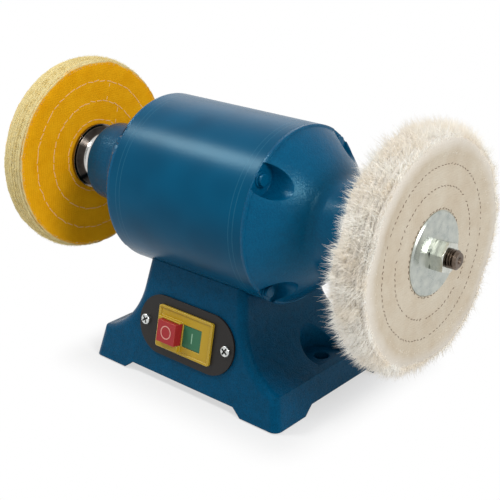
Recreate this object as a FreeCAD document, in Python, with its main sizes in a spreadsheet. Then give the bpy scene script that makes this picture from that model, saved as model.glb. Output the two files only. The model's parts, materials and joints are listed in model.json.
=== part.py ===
import FreeCAD, Part
import Sketcher
import math
import os

# Bench polishing lathe. The origin is the middle of the feet on the bench. X runs along the shaft
# towards the white buff, Y runs to the back and Z runs up.

V = FreeCAD.Vector

# Driving sizes in mm. A name that ends in _draft is a lean per mm of height.
SIZES = {
    # shaft line
    "shaft_height": 130,
    "shaft_offset": 13,
    # pedestal casting, outside
    "base_width": 174,
    "base_depth": 140,
    "foot_gap": 1,
    "wall_draft": 0.21,
    "neck_draft": 0.165,
    "ledge_height": 23.5,
    "flare_radius": 49,
    "flare_top": 62,
    "neck_half_width": 47.2,
    "neck_back_reach": 44,
    "neck_drop": 42,
    "corner_round": 6,
    # pedestal casting, inside and holes
    "wall": 5,
    "saddle_wall": 6,
    "arch_height": 6.5,
    "front_arch": 55,
    "front_arch_slope": 7,
    "side_arch": 39,
    "side_arch_slope": 8,
    "post_size": 26,
    "post_height": 16,
    "bench_hole_inset": 18,
    "bench_hole_radius": 5.5,
    "spot_face_radius": 15,
    "spot_face_floor": 25,
    "boss_foot": 12,
    # rubber feet and cover plate
    "pad_size": 20,
    "pad_inset": 13,
    "pad_thickness": 4,
    "pad_round": 4,
    "cover_height": 7,
    "cover_sheet": 1.5,
    "cover_gap": 0.5,
    "cover_screw_inset_x": 42,
    "cover_screw_inset_y": 13,
    "cover_boss_radius": 6,
    "cover_boss_height": 22,
    "cover_screw_depth": 10,
    "bolt_clearance_radius": 8,
    # small screws
    "screw_radius": 2,
    "screw_head_radius": 3.8,
    "screw_head": 2.2,
    # motor shell
    "shell_radius": 60,
    "shell_wall": 1.5,
    "shell_length": 118,
    "lead_hole_radius": 7,
    "saddle_bolt_inset": 13,
    "saddle_bolt_radius": 3,
    "saddle_hex": 5,
    "saddle_head": 4,
    "saddle_nut_gap": 0.4,
    # places along the shaft, counted outwards from the ends of the shell
    "pocket_floor": 1,
    "bell_rim": 3,
    "bell_bore_end": 13,
    "bell_throat": 28,
    "dome_end": 28.5,
    "bell_hub": 36,
    "bearing_start": 41,
    "bell_nose": 59,
    "journal_end": 63,
    "cone_end": 73,
    "buff_face": 80.5,
    "shaft_end": 118,
    # end bells
    "spigot": 6,
    "rim_chamfer": 0.8,
    "rim_step": 1.6,
    "dome_bend": 120,
    "dome_end_radius": 34.4,
    "bell_hollow": 10.4,
    "bell_hub_radius": 30.4,
    "bell_nose_radius": 29,
    "bell_nose_round": 2,
    "bell_wall": 3.5,
    "bell_throat_radius": 26,
    "bell_floor_radius": 23,
    "pocket_radius": 10.5,
    "bolt_circle_inset": 5.5,
    "bolt_turn": 50,
    "bolt_hole_gap": 0.3,
    "bolt_head_radius": 4,
    "bolt_head": 2.5,
    "bolt_washer": 1,
    "bolt_washer_radius": 5.2,
    "bolt_nut": 3.2,
    "bolt_end": 2.3,
    # stator and rotor
    "core_length": 50,
    "stator_bore": 31.35,
    "air_gap": 0.35,
    "stator_notch": 5,
    "slot_root": 34,
    "slot_tip_inset": 13.5,
    "slot_narrow": 2.2,
    "slot_wide": 3.9,
    "slot_mouth": 1,
    "slot_lip": 1.2,
    "coil_gap": 0.25,
    "coil_overhang": 16,
    "coil_roundness": 0.4,
    "stator_slots": 24,
    "bar_inner": 23.5,
    "bar_outer": 29,
    "bar_narrow": 1.2,
    "bar_wide": 2.1,
    "rotor_bars": 20,
    "end_ring": 6,
    "end_ring_bore": 19,
    "end_ring_cover": 1,
    "blade_length": 8,
    "blade_inner": 21,
    "blade_thickness": 1.2,
    "blades": 8,
    # shaft
    "core_seat": 8.5,
    "journal": 7.5,
    "spindle": 6,
    "shaft_chamfer": 1,
    "centre_hole": 2,
    "centre_depth": 3,
    # ball bearings
    "bearing_width": 11,
    "bearing_outer": 17.5,
    "bearing_lip": 15,
    "inner_ring_top": 10,
    "ball_pitch": 12.5,
    "ball_radius": 3,
    "ball_gap": 0.05,
    "balls": 8,
    "cage_inner": 11.6,
    "cage_outer": 13.4,
    "cage_back": 1.6,
    "cage_front": 4.2,
    "cage_gap": 0.1,
    "shield_inner": 10.3,
    "shield_start": 4.6,
    "shield_sheet": 0.5,
    "ring_shoulder": 14.5,
    "shoulder_width": 2,
    "seal_radius": 11,
    "seal_gap": 0.05,
    "wave_washer": 0.6,
    "wave_washer_gap": 0.4,
    # flanges, nuts and buffs
    "hub_length": 4,
    "hub_radius": 9,
    "cone_foot_radius": 14,
    "cone_radius": 17,
    "flange_radius": 24.5,
    "flange_rim": 3,
    "flange_step": 2,
    "flange_chamfer": 1,
    "buff_hub": 20,
    "buff_radius": 75,
    "buff_flat_inset": 13,
    "buff_rim_inset": 5.5,
    "buff_spread": 3,
    "buff_rim_bend": 17,
    "washer_radius": 26.6,
    "washer_sheet": 1.6,
    "washer_chamfer": 1,
    "washer_land": 19,
    "washer_hub": 13.5,
    "washer_height": 2.5,
    "nut_thickness": 9,
    "nut_half_flats": 9,
    "nut_turn": 20,
    "nut_chamfer": 1.6,
    "nut_cut_radius": 12.4,
    # switch
    "switch_height": 42,
    "plate_half_length": 44,
    "plate_radius": 21,
    "plate_sheet": 1.6,
    "plate_screw_reach": 37.5,
    "plate_screw_length": 9,
    "opening_half_width": 30,
    "opening_half_height": 17,
    "opening_round": 4,
    "bezel_half_width": 25,
    "bezel_half_height": 15,
    "bezel_height": 2,
    "bezel_rim": 1.5,
    "bezel_rim_height": 0.8,
    "collar_left": 22.5,
    "collar_low": 13.5,
    "collar_wall": 1,
    "collar_height": 2.5,
    "cutout_half_width": 22.5,
    "cutout_half_height": 13.5,
    "button_width": 17,
    "button_half_height": 8,
    "stop_edge": 19.5,
    "rib": 1,
    "button_drop": 1,
    "button_gap": 0.3,
    "stop_top": 9.5,
    "start_sink": 1.2,
    "skirt": 1.5,
    "skirt_depth": 4,
    "well_depth": 12,
    "switch_depth": 30,
    "terminal_length": 10,
    "terminal_half_width": 3.1,
    "terminal_half_sheet": 0.4,
    "terminal_row": 7.5,
    "terminal_inner_column": 5,
    "terminal_outer_column": 15.5,
    # capacitor, terminals and cord inlet
    "can_radius": 14.5,
    "can_length": 56,
    "can_y": 4,
    "can_rim": 2,
    "tag_length": 8,
    "tag_half_sheet": 0.4,
    "tag_half_height": 3.1,
    "tag_reach": 5,
    "strap_sheet": 1.2,
    "strap_half_width": 7,
    "strap_foot": 12,
    "strap_hole": 7,
    "block_inset": 39,
    "block_y": 30,
    "block_length": 26,
    "block_depth": 16,
    "block_height": 12,
    "inlet_x": 25,
    "inlet_height": 42,
    "inlet_depth": 1.5,
    "inlet_face_radius": 9,
    "inlet_wall": 5,
    "grommet_flange": 7.5,
    "grommet_neck": 6,
    "grommet_bore": 3.5,
    "grommet_lip": 2,
    "lead_bore": 5,
    "lead_lip": 1.5,
    "lead_gap": 0.8,
    "lead_play": 0.1,
    "lead_room": 0.5,
}

# Cutters reach past the casting by this factor.
PAST = 1.2

doc = FreeCAD.newDocument("polishing_lathe")
sheet = doc.addObject("Spreadsheet::Sheet", "dims")
for row, (word, number) in enumerate(SIZES.items(), start=1):
    sheet.set(f"A{row}", word)
    sheet.set(f"B{row}", str(number))
    sheet.setAlias(f"B{row}", word)
doc.recompute()


class Size(float):
    """A number that remembers the sheet formula it came from."""

    def __new__(cls, number, formula=None):
        size = float.__new__(cls, number)
        size.formula = formula if formula else repr(float(number))
        return size

    def __add__(self, other):
        return Size(float(self) + float(other), f"({self.formula} + {formula_of(other)})")

    def __radd__(self, other):
        return Size(float(other) + float(self), f"({formula_of(other)} + {self.formula})")

    def __sub__(self, other):
        return Size(float(self) - float(other), f"({self.formula} - {formula_of(other)})")

    def __rsub__(self, other):
        return Size(float(other) - float(self), f"({formula_of(other)} - {self.formula})")

    def __mul__(self, other):
        return Size(float(self) * float(other), f"({self.formula} * {formula_of(other)})")

    __rmul__ = __mul__

    def __truediv__(self, other):
        return Size(float(self) / float(other), f"({self.formula} / {formula_of(other)})")

    def __neg__(self):
        return Size(-float(self), f"(-1 * {self.formula})")


def formula_of(number):
    return number.formula if isinstance(number, Size) else repr(float(number))


def root(size):
    return Size(math.sqrt(size), f"sqrt({size.formula})")


def sine(angle):
    return Size(math.sin(math.radians(angle)), f"sin({angle.formula} * 1 deg)")


def cosine(angle):
    return Size(math.cos(math.radians(angle)), f"cos({angle.formula} * 1 deg)")


def size(word):
    return Size(SIZES[word], f"dims.{word}")


def from_shell(word):
    """A place along the shaft, counted outwards from the end of the shell."""
    return size("shell_length") / 2 + size(word)


def neck_top():
    return size("shaft_height") - size("neck_drop")


def bench_hole_x():
    return size("base_width") / 2 - size("bench_hole_inset")


def saddle_bolt_x():
    return size("neck_half_width") - size("saddle_bolt_inset")


def inlet_floor():
    return size("neck_back_reach") - size("shaft_offset") + size("inlet_depth")


def bind(item, prop, number):
    item.setExpression(prop, formula_of(number))


def place(item, x=0, y=0, z=0):
    for axis, number in (("x", x), ("y", y), ("z", z)):
        bind(item, f"Placement.Base.{axis}", number)


# ---------------------------------------------------------------- sketches

def bent_line(start, end, radius):
    """An arc between two corners, turning left if the radius is positive, and its end numbers."""
    across = end - start
    left = V(-across.y, across.x, 0).normalize()
    rise = math.sqrt(max(radius * radius - across.Length ** 2 / 4, 0))
    centre = (start + end) * 0.5 + left * math.copysign(rise, radius)
    circle = Part.Circle(centre, V(0, 0, 1), abs(radius))
    first, last = (start, end) if radius > 0 else (end, start)
    arc = Part.ArcOfCircle(circle, circle.parameter(first), circle.parameter(last))
    return arc, ((1, 2) if radius > 0 else (2, 1))


def pin_point(sketch, shape, end, x, y):
    """Fix a point of a sketch at x, y."""
    for kind, axis_line, number in (("DistanceX", -2, x), ("DistanceY", -1, y)):
        if not isinstance(number, Size) and number == 0:
            sketch.addConstraint(Sketcher.Constraint("PointOnObject", shape, end, axis_line))
            continue
        index = sketch.addConstraint(Sketcher.Constraint(kind, shape, end, float(number)))
        sketch.setExpression(f"Constraints[{index}]", formula_of(number))


def pin_radius(sketch, shape, radius):
    index = sketch.addConstraint(Sketcher.Constraint("Radius", shape, abs(float(radius))))
    bound = radius if radius > 0 else -radius
    sketch.setExpression(f"Constraints[{index}]", formula_of(bound))


def draw_loop(sketch, corners):
    """A closed outline. A third number bends the side that leaves its corner."""
    first = sketch.GeometryCount
    ends = []
    for index, corner in enumerate(corners):
        following = corners[(index + 1) % len(corners)]
        start = V(corner[0], corner[1], 0)
        end = V(following[0], following[1], 0)
        if len(corner) == 3:
            side, numbers = bent_line(start, end, float(corner[2]))
        else:
            side, numbers = Part.LineSegment(start, end), (1, 2)
        sketch.addGeometry(side, False)
        ends.append(numbers)
    for index, numbers in enumerate(ends):
        following = (index + 1) % len(corners)
        sketch.addConstraint(Sketcher.Constraint(
            "Coincident", first + index, numbers[1], first + following, ends[following][0]))
    for index, corner in enumerate(corners):
        pin_point(sketch, first + index, ends[index][0], corner[0], corner[1])
        if len(corner) == 3:
            pin_radius(sketch, first + index, corner[2])


def draw_circle(sketch, x, y, radius):
    shape = sketch.GeometryCount
    sketch.addGeometry(Part.Circle(V(x, y, 0), V(0, 0, 1), float(radius)), False)
    pin_point(sketch, shape, 3, x, y)
    pin_radius(sketch, shape, radius)


def box_corners(left, right, bottom, top):
    return [(left, bottom), (right, bottom), (right, top), (left, top)]


def rounded_corners(left, right, bottom, top, radius):
    return [(left + radius, bottom), (right - radius, bottom, radius),
            (right, bottom + radius), (right, top - radius, radius),
            (right - radius, top), (left + radius, top, radius),
            (left, top - radius), (left, bottom + radius, radius)]


# ---------------------------------------------------------------- bodies and features

def new_body(label, x=0, y=0, z=0):
    body = doc.addObject("PartDesign::Body", label)
    body.Label = label
    body.AllowCompound = True
    place(body, x, y, z)
    return body


def shaft_body(label):
    """A body whose own X axis is the shaft line."""
    return new_body(label, 0, -size("shaft_offset"), size("shaft_height"))


def new_sketch(body, plane, offset=0, loops=(), circles=()):
    sketch = body.newObject("Sketcher::SketchObject", f"{body.Label}_sketch")
    support = next(item for item in body.Origin.OriginFeatures if item.Role == f"{plane}_Plane")
    sketch.AttachmentSupport = [(support, "")]
    sketch.MapMode = "FlatFace"
    if isinstance(offset, Size) or offset:
        bind(sketch, "AttachmentOffset.Base.z", offset)
    for corners in loops:
        draw_loop(sketch, corners)
    for circle in circles:
        draw_circle(sketch, *circle)
    return sketch


def feature(body, kind, sketch, **numbers):
    item = body.newObject(f"PartDesign::{kind}", f"{body.Label}_{kind.lower()}")
    item.Profile = sketch
    for prop, number in numbers.items():
        if isinstance(number, (Size, int, float)) and not isinstance(number, bool):
            bind(item, prop, number)
        else:
            setattr(item, prop, number)
    sketch.Visibility = False
    body.Tip = item
    return item


def pad(body, plane, length, offset=0, loops=(), circles=(), **rest):
    """Material from the sketch along the plane's normal."""
    sketch = new_sketch(body, plane, offset, loops, circles)
    return feature(body, "Pad", sketch, Length=length, **rest)


def pocket(body, plane, length, offset=0, loops=(), circles=(), **rest):
    """A cut from the sketch against the plane's normal."""
    sketch = new_sketch(body, plane, offset, loops, circles)
    return feature(body, "Pocket", sketch, Length=length, **rest)


def turned(body, corners, kind="Revolution"):
    """A turned shape: X runs along the body's X axis and Y is the radius."""
    sketch = new_sketch(body, "XZ", loops=[corners])
    return feature(body, kind, sketch, ReferenceAxis=(sketch, ["H_Axis"]), Angle=360)


def repeat(body, original, count):
    """Copies of a feature spread round the body's X axis."""
    pattern = body.newObject("PartDesign::PolarPattern", f"{body.Label}_pattern")
    axis = next(item for item in body.Origin.OriginFeatures if item.Role == "X_Axis")
    pattern.Originals = [original]
    pattern.Axis = (axis, [""])
    pattern.Angle = 360
    bind(pattern, "Occurrences", count)
    body.Tip = pattern
    return pattern


def sided(corners, side):
    """An outline for the right side, or its mirror image for the left side."""
    if side > 0:
        return list(corners)
    flipped = []
    for index in range(len(corners)):
        x, y = corners[-index][0], corners[-index][1]
        before = corners[-index - 1]
        flipped.append((-x, y, before[2]) if len(before) == 3 else (-x, y))
    return flipped


def joined(label, kind, links, **props):
    item = doc.addObject(f"Part::{kind}", label)
    item.Label = label
    if kind == "Cut":
        item.Base, item.Tool = links
    elif kind == "Compound":
        item.Links = links
    else:
        item.Shapes = links
    for prop, number in props.items():
        setattr(item, prop, number)
    for link in links:
        link.Visibility = False
    return item


def extrusion(label, loops, turn, length, circles=(), back=0, symmetric=False):
    """A loose sketch turned into position and made solid along its normal."""
    sketch = doc.addObject("Sketcher::SketchObject", f"{label}_sketch")
    sketch.Placement = FreeCAD.Placement(V(0, 0, 0), turn)
    for corners in loops:
        draw_loop(sketch, corners)
    for circle in circles:
        draw_circle(sketch, *circle)
    item = doc.addObject("Part::Extrusion", label)
    item.Base = sketch
    item.DirMode = "Normal"
    item.Solid = True
    item.Symmetric = symmetric
    bind(item, "LengthFwd", length)
    if isinstance(back, Size) or back:
        bind(item, "LengthRev", back)
    sketch.Visibility = False
    return item


def cylinder(label, radius, height, x=0, y=0, z=0, turn=None):
    item = doc.addObject("Part::Cylinder", label)
    bind(item, "Radius", radius)
    bind(item, "Height", height)
    if turn:
        item.Placement = FreeCAD.Placement(V(0, 0, 0), turn)
    place(item, x, y, z)
    return item


LOOK_FRONT = FreeCAD.Rotation(V(1, 0, 0), 90)      # sketch x to X, sketch y to Z
LOOK_SIDE = FreeCAD.Rotation(V(1, 1, 1), 120)      # sketch x to Y, sketch y to Z
LOOK_DOWN = FreeCAD.Rotation()
TO_BACK = FreeCAD.Rotation(V(1, 0, 0), -90)        # cylinder height towards the back
ALONG_SHAFT = FreeCAD.Rotation(V(0, 1, 0), 90)     # cylinder height along X


def lean_with_front(item):
    """Put an item's own XY plane on the leaning front face, at the middle of the switch."""
    item.Placement = FreeCAD.Placement(V(0, 0, 0), FreeCAD.Rotation(V(1, 0, 0), 78))
    height = size("switch_height")
    place(item, 0, size("wall_draft") * height - size("base_depth") / 2, height)
    item.setExpression("Placement.Rotation.Angle", "90 deg - atan(dims.wall_draft)")


def switch_body_at_front(label):
    body = new_body(label)
    lean_with_front(body)
    return body


# ---------------------------------------------------------------- pedestal

def wall_profile(inset, bottom):
    """Half of the front view outline, bottom to top: wall, flare and neck side."""
    half = size("base_width") / 2 - inset
    ledge = size("ledge_height") - inset
    draft = size("wall_draft")
    top = neck_top()
    neck = size("neck_half_width") - inset
    neck_end = neck - size("neck_draft") * (top - size("flare_top"))
    bend = size("flare_radius") + inset
    return [(half - draft * bottom, bottom), (half - draft * ledge, ledge, -bend),
            (neck, size("flare_top")), (neck_end, top)]


def front_outline(inset, bottom):
    right = wall_profile(inset, bottom)
    left = [(-x[0], x[1]) for x in reversed(right)]
    left[1] = (left[1][0], left[1][1], right[1][2])
    return right + left


def side_outline(inset, bottom):
    half = size("base_depth") / 2 - inset
    ledge = size("ledge_height") - inset
    draft = size("wall_draft")
    top = neck_top()
    neck = size("neck_back_reach") - size("shaft_offset") - inset
    neck_end = neck - draft * (top - size("flare_top"))
    bend = size("flare_radius") + inset
    return [(draft * bottom - half, bottom), (half - draft * bottom, bottom),
            (half - draft * ledge, ledge, -bend),
            (neck, size("flare_top")), (neck_end, top), (draft * top - half, top)]


def casting_blank(label, inset, bottom):
    """Where the front view and the side view of the casting overlap."""
    across = extrusion(f"{label}_front_view", [front_outline(inset, bottom)], LOOK_FRONT,
                       size("base_depth") * PAST, symmetric=True)
    along = extrusion(f"{label}_side_view", [side_outline(inset, bottom)], LOOK_SIDE,
                      size("base_width") * PAST, symmetric=True)
    return joined(label, "MultiCommon", [across, along])


def corner_edges(shape):
    """Names of the edges where the front or back meets a side."""
    names = []
    for index, edge in enumerate(shape.Edges, start=1):
        box = edge.BoundBox
        if min(box.XLength, box.YLength, box.ZLength) > 0.1:
            names.append(f"Edge{index}")
    return names


def rounded_blank():
    blank = casting_blank("casting_blank", Size(0, "0"), size("foot_gap"))
    doc.recompute()
    body = doc.addObject("PartDesign::Body", "casting_rounded")
    body.BaseFeature = blank
    doc.recompute()
    fillet = body.newObject("PartDesign::Fillet", "casting_corners")
    fillet.Base = (body.BaseFeature if not body.Group else body.Group[0], corner_edges(blank.Shape))
    bind(fillet, "Radius", size("corner_round"))
    body.Tip = fillet
    return body


def casting_hollow():
    """The space inside the pedestal, less its posts and bosses."""
    wall = size("wall")
    space = casting_blank("casting_space", wall, Size(0, "0"))
    length = size("base_width") * PAST
    saddle = cylinder("saddle_roof", size("shell_radius") + size("saddle_wall"), length, -length / 2,
                      -size("shaft_offset"), size("shaft_height"), ALONG_SHAFT)
    keep = [saddle]
    half_x = size("base_width") / 2
    half_y = size("base_depth") / 2
    post = size("post_size")
    posts = [box_corners(half_x - post, half_x, half_y - post, half_y),
             box_corners(-half_x, post - half_x, half_y - post, half_y),
             box_corners(half_x - post, half_x, -half_y, post - half_y),
             box_corners(-half_x, post - half_x, -half_y, post - half_y)]
    keep.append(extrusion("posts", posts, LOOK_DOWN, size("post_height")))
    for side in (-1, 1):
        keep.append(cylinder("bench_boss", size("spot_face_radius") + wall, neck_top(),
                             side * bench_hole_x(), 0, size("boss_foot")))
        for end in (-1, 1):
            x, y = cover_screw_point(side, end)
            keep.append(cylinder("cover_boss", size("cover_boss_radius"), size("cover_boss_height"), x, y,
                                 size("cover_height") + size("cover_sheet")))
    keep.append(cylinder("inlet_boss", size("inlet_face_radius") + wall, size("base_depth"),
                         -size("inlet_x"), inlet_floor() - size("inlet_wall"),
                         size("inlet_height"), TO_BACK))
    return joined("casting_hollow", "Cut", [space, joined("casting_kept", "MultiFuse", keep)])


def arch_cutters():
    """The gaps between the four feet, under the front, the back and both sides."""
    low = Size(-1, "-1")
    top = size("arch_height")
    cutters = []
    for label, reach, slope, turn in (("front_arch_cut", "front_arch", "front_arch_slope", LOOK_FRONT),
                                      ("side_arch_cut", "side_arch", "side_arch_slope", LOOK_SIDE)):
        half = size(reach)
        inner = half - size(slope)
        corners = [(-half, low), (half, low), (half, size("foot_gap")), (inner, top), (-inner, top),
                   (-half, size("foot_gap"))]
        cutters.append(extrusion(label, [corners], turn, size("base_width") * PAST, symmetric=True))
    return cutters


def pad_outlines():
    """The four rubber feet, seen from above."""
    loops = []
    half = size("pad_size") / 2
    for side_x in (-1, 1):
        for side_y in (-1, 1):
            x = side_x * (size("base_width") / 2 - size("pad_inset"))
            y = side_y * (size("base_depth") / 2 - size("pad_inset"))
            loops.append(rounded_corners(x - half, x + half, y - half, y + half, size("pad_round")))
    return loops


def cover_screw_point(side, end):
    return (side * (size("base_width") / 2 - size("cover_screw_inset_x")),
            end * (size("base_depth") / 2 - size("cover_screw_inset_y")))


def cover_screw_circles(radius):
    return [(*cover_screw_point(side, end), radius) for side in (-1, 1) for end in (-1, 1)]


def make_pedestal():
    offset = -size("shaft_offset")
    axis = size("shaft_height")
    length = size("base_width") * PAST
    saddle = cylinder("saddle_cut", size("shell_radius"), length, -length / 2, offset, axis, ALONG_SHAFT)
    cutters = [saddle, casting_hollow(), *arch_cutters()]
    for side in (-1, 1):
        x = side * bench_hole_x()
        cutters.append(cylinder("spot_face", size("spot_face_radius"), neck_top(), x, 0,
                                size("spot_face_floor")))
        cutters.append(cylinder("bench_hole", size("bench_hole_radius"), neck_top(), x, 0, 0))
        cutters.append(cylinder("saddle_bolt_hole", size("saddle_bolt_radius") + size("bolt_hole_gap"),
                                axis - size("cover_height"), side * saddle_bolt_x(), offset,
                                size("cover_height")))
    cutters.append(cylinder("lead_hole", size("lead_hole_radius"), axis - size("cover_height"), 0, offset,
                            size("cover_height")))
    cutters.append(extrusion("foot_recesses", pad_outlines(), LOOK_DOWN, size("pad_thickness")))
    screw_holes = extrusion("cover_screw_holes", [], LOOK_DOWN,
                            size("cover_height") + size("cover_sheet") + size("cover_screw_depth"),
                            circles=cover_screw_circles(size("screw_radius")))
    cutters.append(screw_holes)
    reach = size("plate_screw_reach")
    wide = size("opening_half_width")
    high = size("opening_half_height")
    opening = extrusion("switch_opening",
                        [rounded_corners(-wide, wide, -high, high, size("opening_round"))], LOOK_DOWN,
                        size("wall"), back=size("wall") * 3,
                        circles=[(-reach, 0, size("screw_radius")), (reach, 0, size("screw_radius"))])
    lean_with_front(opening.Base)
    cutters.append(opening)
    inlet_back = inlet_floor()
    cutters.append(cylinder("inlet_spot_face", size("inlet_face_radius"), size("base_depth"),
                            -size("inlet_x"), inlet_back, size("inlet_height"), TO_BACK))
    cutters.append(cylinder("inlet_hole", size("grommet_neck"), size("base_depth"), -size("inlet_x"),
                            inlet_back - size("inlet_wall") * 2, size("inlet_height"), TO_BACK))
    tool = joined("casting_cuts", "MultiFuse", cutters)
    return joined("pedestal", "Cut", [rounded_blank(), tool])


def make_feet():
    body = new_body("rubber_feet")
    pad(body, "XY", size("pad_thickness"), loops=pad_outlines())
    return body


def make_cover():
    gap = size("cover_gap")
    height = size("cover_height")
    lean = size("wall_draft") * height
    half_x = size("base_width") / 2 - size("wall") - lean - gap
    half_y = size("base_depth") / 2 - size("wall") - lean - gap
    notch_x = size("base_width") / 2 - size("post_size") - gap
    notch_y = size("base_depth") / 2 - size("post_size") - gap
    outline = [(notch_x, -half_y), (notch_x, -notch_y), (half_x, -notch_y), (half_x, notch_y),
               (notch_x, notch_y), (notch_x, half_y), (-notch_x, half_y), (-notch_x, notch_y),
               (-half_x, notch_y), (-half_x, -notch_y), (-notch_x, -notch_y), (-notch_x, -half_y)]
    reach = bench_hole_x()
    wide = size("bolt_clearance_radius")
    body = new_body("cover_plate")
    pad(body, "XY", size("cover_sheet"), height, [outline],
        cover_screw_circles(size("screw_radius") + gap)
        + strap_screw_circles(size("screw_radius")) + [(-reach, 0, wide), (reach, 0, wide)])
    screws = new_body("cover_plate_screws")
    pad(screws, "XY", size("screw_head"), height - size("screw_head"),
        circles=cover_screw_circles(size("screw_head_radius")))
    pad(screws, "XY", size("cover_sheet") + size("cover_screw_depth"), height,
        circles=cover_screw_circles(size("screw_radius")))
    return body, screws


# ---------------------------------------------------------------- motor shell and end bells

def make_shell():
    outer = size("shell_radius")
    length = size("shell_length")
    body = shaft_body("motor_shell")
    pad(body, "YZ", length, -length / 2,
        circles=[(0, 0, outer), (0, 0, outer - size("shell_wall"))])
    reach = saddle_bolt_x()
    bolt = size("saddle_bolt_radius") + size("bolt_hole_gap")
    pocket(body, "XY", outer * PAST,
           circles=[(-reach, 0, bolt), (reach, 0, bolt), (0, 0, size("lead_hole_radius"))])
    return body


def bolt_circle():
    return size("shell_radius") - size("bolt_circle_inset")


def bolt_points():
    """The four tie bolts as Y and Z, from the top towards the front and on round the shaft."""
    points = []
    for quarter in range(4):
        turn = size("bolt_turn") + 90 * quarter
        points.append((-(bolt_circle() * sine(turn)), bolt_circle() * cosine(turn)))
    return points


def bolt_circles(radius):
    return [(y, z, radius) for y, z in bolt_points()]


def make_bell(label, side):
    shell_end = size("shell_length") / 2
    outer = size("shell_radius")
    start = shell_end - size("spigot")
    bore = bolt_circle() - size("pocket_radius") - size("bell_wall")
    seat = from_shell("bearing_start")
    seat_end = seat + size("bearing_width")
    shoulder_end = seat_end + size("shoulder_width")
    if side < 0:
        seat_end = seat_end + size("wave_washer")
    nose = from_shell("bell_nose")
    nose_round = size("bell_nose_round")
    rim = from_shell("bell_rim")
    chamfer = size("rim_chamfer")
    profile = [
        (start, bore), (from_shell("bell_bore_end"), bore),
        (from_shell("bell_throat"), size("bell_throat_radius")), (seat, size("bell_floor_radius")),
        (seat, size("bearing_outer")), (seat_end, size("bearing_outer")),
        (seat_end, size("ring_shoulder")), (shoulder_end, size("ring_shoulder")),
        (shoulder_end, size("seal_radius")), (nose, size("seal_radius")),
        (nose, size("bell_nose_radius") - nose_round, nose_round),
        (nose - nose_round, size("bell_nose_radius")),
        (from_shell("bell_hub"), size("bell_hub_radius"), -size("bell_hollow")),
        (from_shell("dome_end"), size("dome_end_radius"), size("dome_bend")),
        (rim, outer - size("rim_step")), (rim, outer - chamfer), (rim - chamfer, outer),
        (shell_end, outer), (shell_end, outer - size("shell_wall")), (start, outer - size("shell_wall"))]
    body = shaft_body(label)
    turned(body, sided(profile, side))
    floor = from_shell("pocket_floor")
    depth = nose - floor
    hole = size("screw_radius") + size("bolt_hole_gap")
    if side > 0:
        pocket(body, "YZ", depth, nose, circles=bolt_circles(size("pocket_radius")))
        pocket(body, "YZ", floor - start, floor, circles=bolt_circles(hole))
    else:
        pocket(body, "YZ", depth, -floor, circles=bolt_circles(size("pocket_radius")))
        pocket(body, "YZ", floor - start, -start, circles=bolt_circles(hole))
    return body


def hexagon(y, z, half_flats):
    """Six corners with two of the flats level."""
    out = half_flats * (2 / math.sqrt(3))
    mid = half_flats * (1 / math.sqrt(3))
    return [(y + mid, z - half_flats), (y + out, z), (y + mid, z + half_flats),
            (y - mid, z + half_flats), (y - out, z), (y - mid, z - half_flats)]


def turned_hexagon(half_flats, turn):
    """Six corners round the shaft; the first lies at this angle above the front."""
    out = half_flats * (2 / math.sqrt(3))
    angles = [turn - 60 * step for step in range(6)]
    return [(-out * cosine(angle), out * sine(angle)) for angle in angles]


def make_tie_bolts():
    floor = from_shell("pocket_floor")
    washer = size("bolt_washer")
    far = floor + washer + size("bolt_nut") + size("bolt_end")
    bolts = shaft_body("tie_bolts")
    pad(bolts, "YZ", far + floor + washer, -far, circles=bolt_circles(size("screw_radius")))
    pad(bolts, "YZ", size("bolt_head"), floor + washer, circles=bolt_circles(size("bolt_head_radius")))
    washers = shaft_body("tie_bolt_washers")
    rings = bolt_circles(size("bolt_washer_radius"))
    holes = bolt_circles(size("screw_radius"))
    pad(washers, "YZ", washer, floor, circles=rings + holes)
    pad(washers, "YZ", washer, -(floor + washer), circles=rings + holes)
    nuts = shaft_body("tie_bolt_nuts")
    flats = size("bolt_head_radius") - size("bolt_hole_gap")
    pad(nuts, "YZ", size("bolt_nut"), -(floor + washer + size("bolt_nut")),
        loops=[hexagon(y, z, flats) for y, z in bolt_points()], circles=holes)
    return bolts, washers, nuts


def make_saddle_bolts():
    reach = saddle_bolt_x()
    radius = size("saddle_bolt_radius")
    nut_base = size("saddle_nut_gap") - (size("shell_radius") - size("shell_wall"))
    nut_top = nut_base + size("saddle_hex")
    roof = -(size("shell_radius") + size("saddle_wall"))
    bolts = shaft_body("saddle_bolts")
    pad(bolts, "XY", nut_top - roof, roof, circles=[(-reach, 0, radius), (reach, 0, radius)])
    heads = [hexagon(-reach, 0, size("saddle_hex")), hexagon(reach, 0, size("saddle_hex"))]
    pad(bolts, "XY", size("saddle_head"), roof - size("saddle_head"), loops=heads)
    nuts = shaft_body("saddle_nuts")
    pad(nuts, "XY", size("saddle_hex"), nut_base, loops=heads,
        circles=[(-reach, 0, radius), (reach, 0, radius)])
    return bolts, nuts


# ---------------------------------------------------------------- stator and rotor

def slot_tip():
    return size("shell_radius") - size("slot_tip_inset")


def slot_outline(gap, opening):
    """One winding slot at the top of the core, with or without its mouth."""
    narrow = size("slot_narrow") - gap
    wide = size("slot_wide") - gap
    low = size("slot_root") + gap
    high = slot_tip() - gap
    if not opening:
        return [(-narrow, low), (narrow, low), (wide, high), (-wide, high)]
    mouth = size("slot_mouth")
    lip = size("slot_root") - size("slot_lip")
    start = size("stator_bore") - size("slot_lip")
    return [(-mouth, start), (mouth, start), (mouth, lip), (narrow, low), (wide, high), (-wide, high),
            (-narrow, low), (-mouth, lip)]


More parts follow.
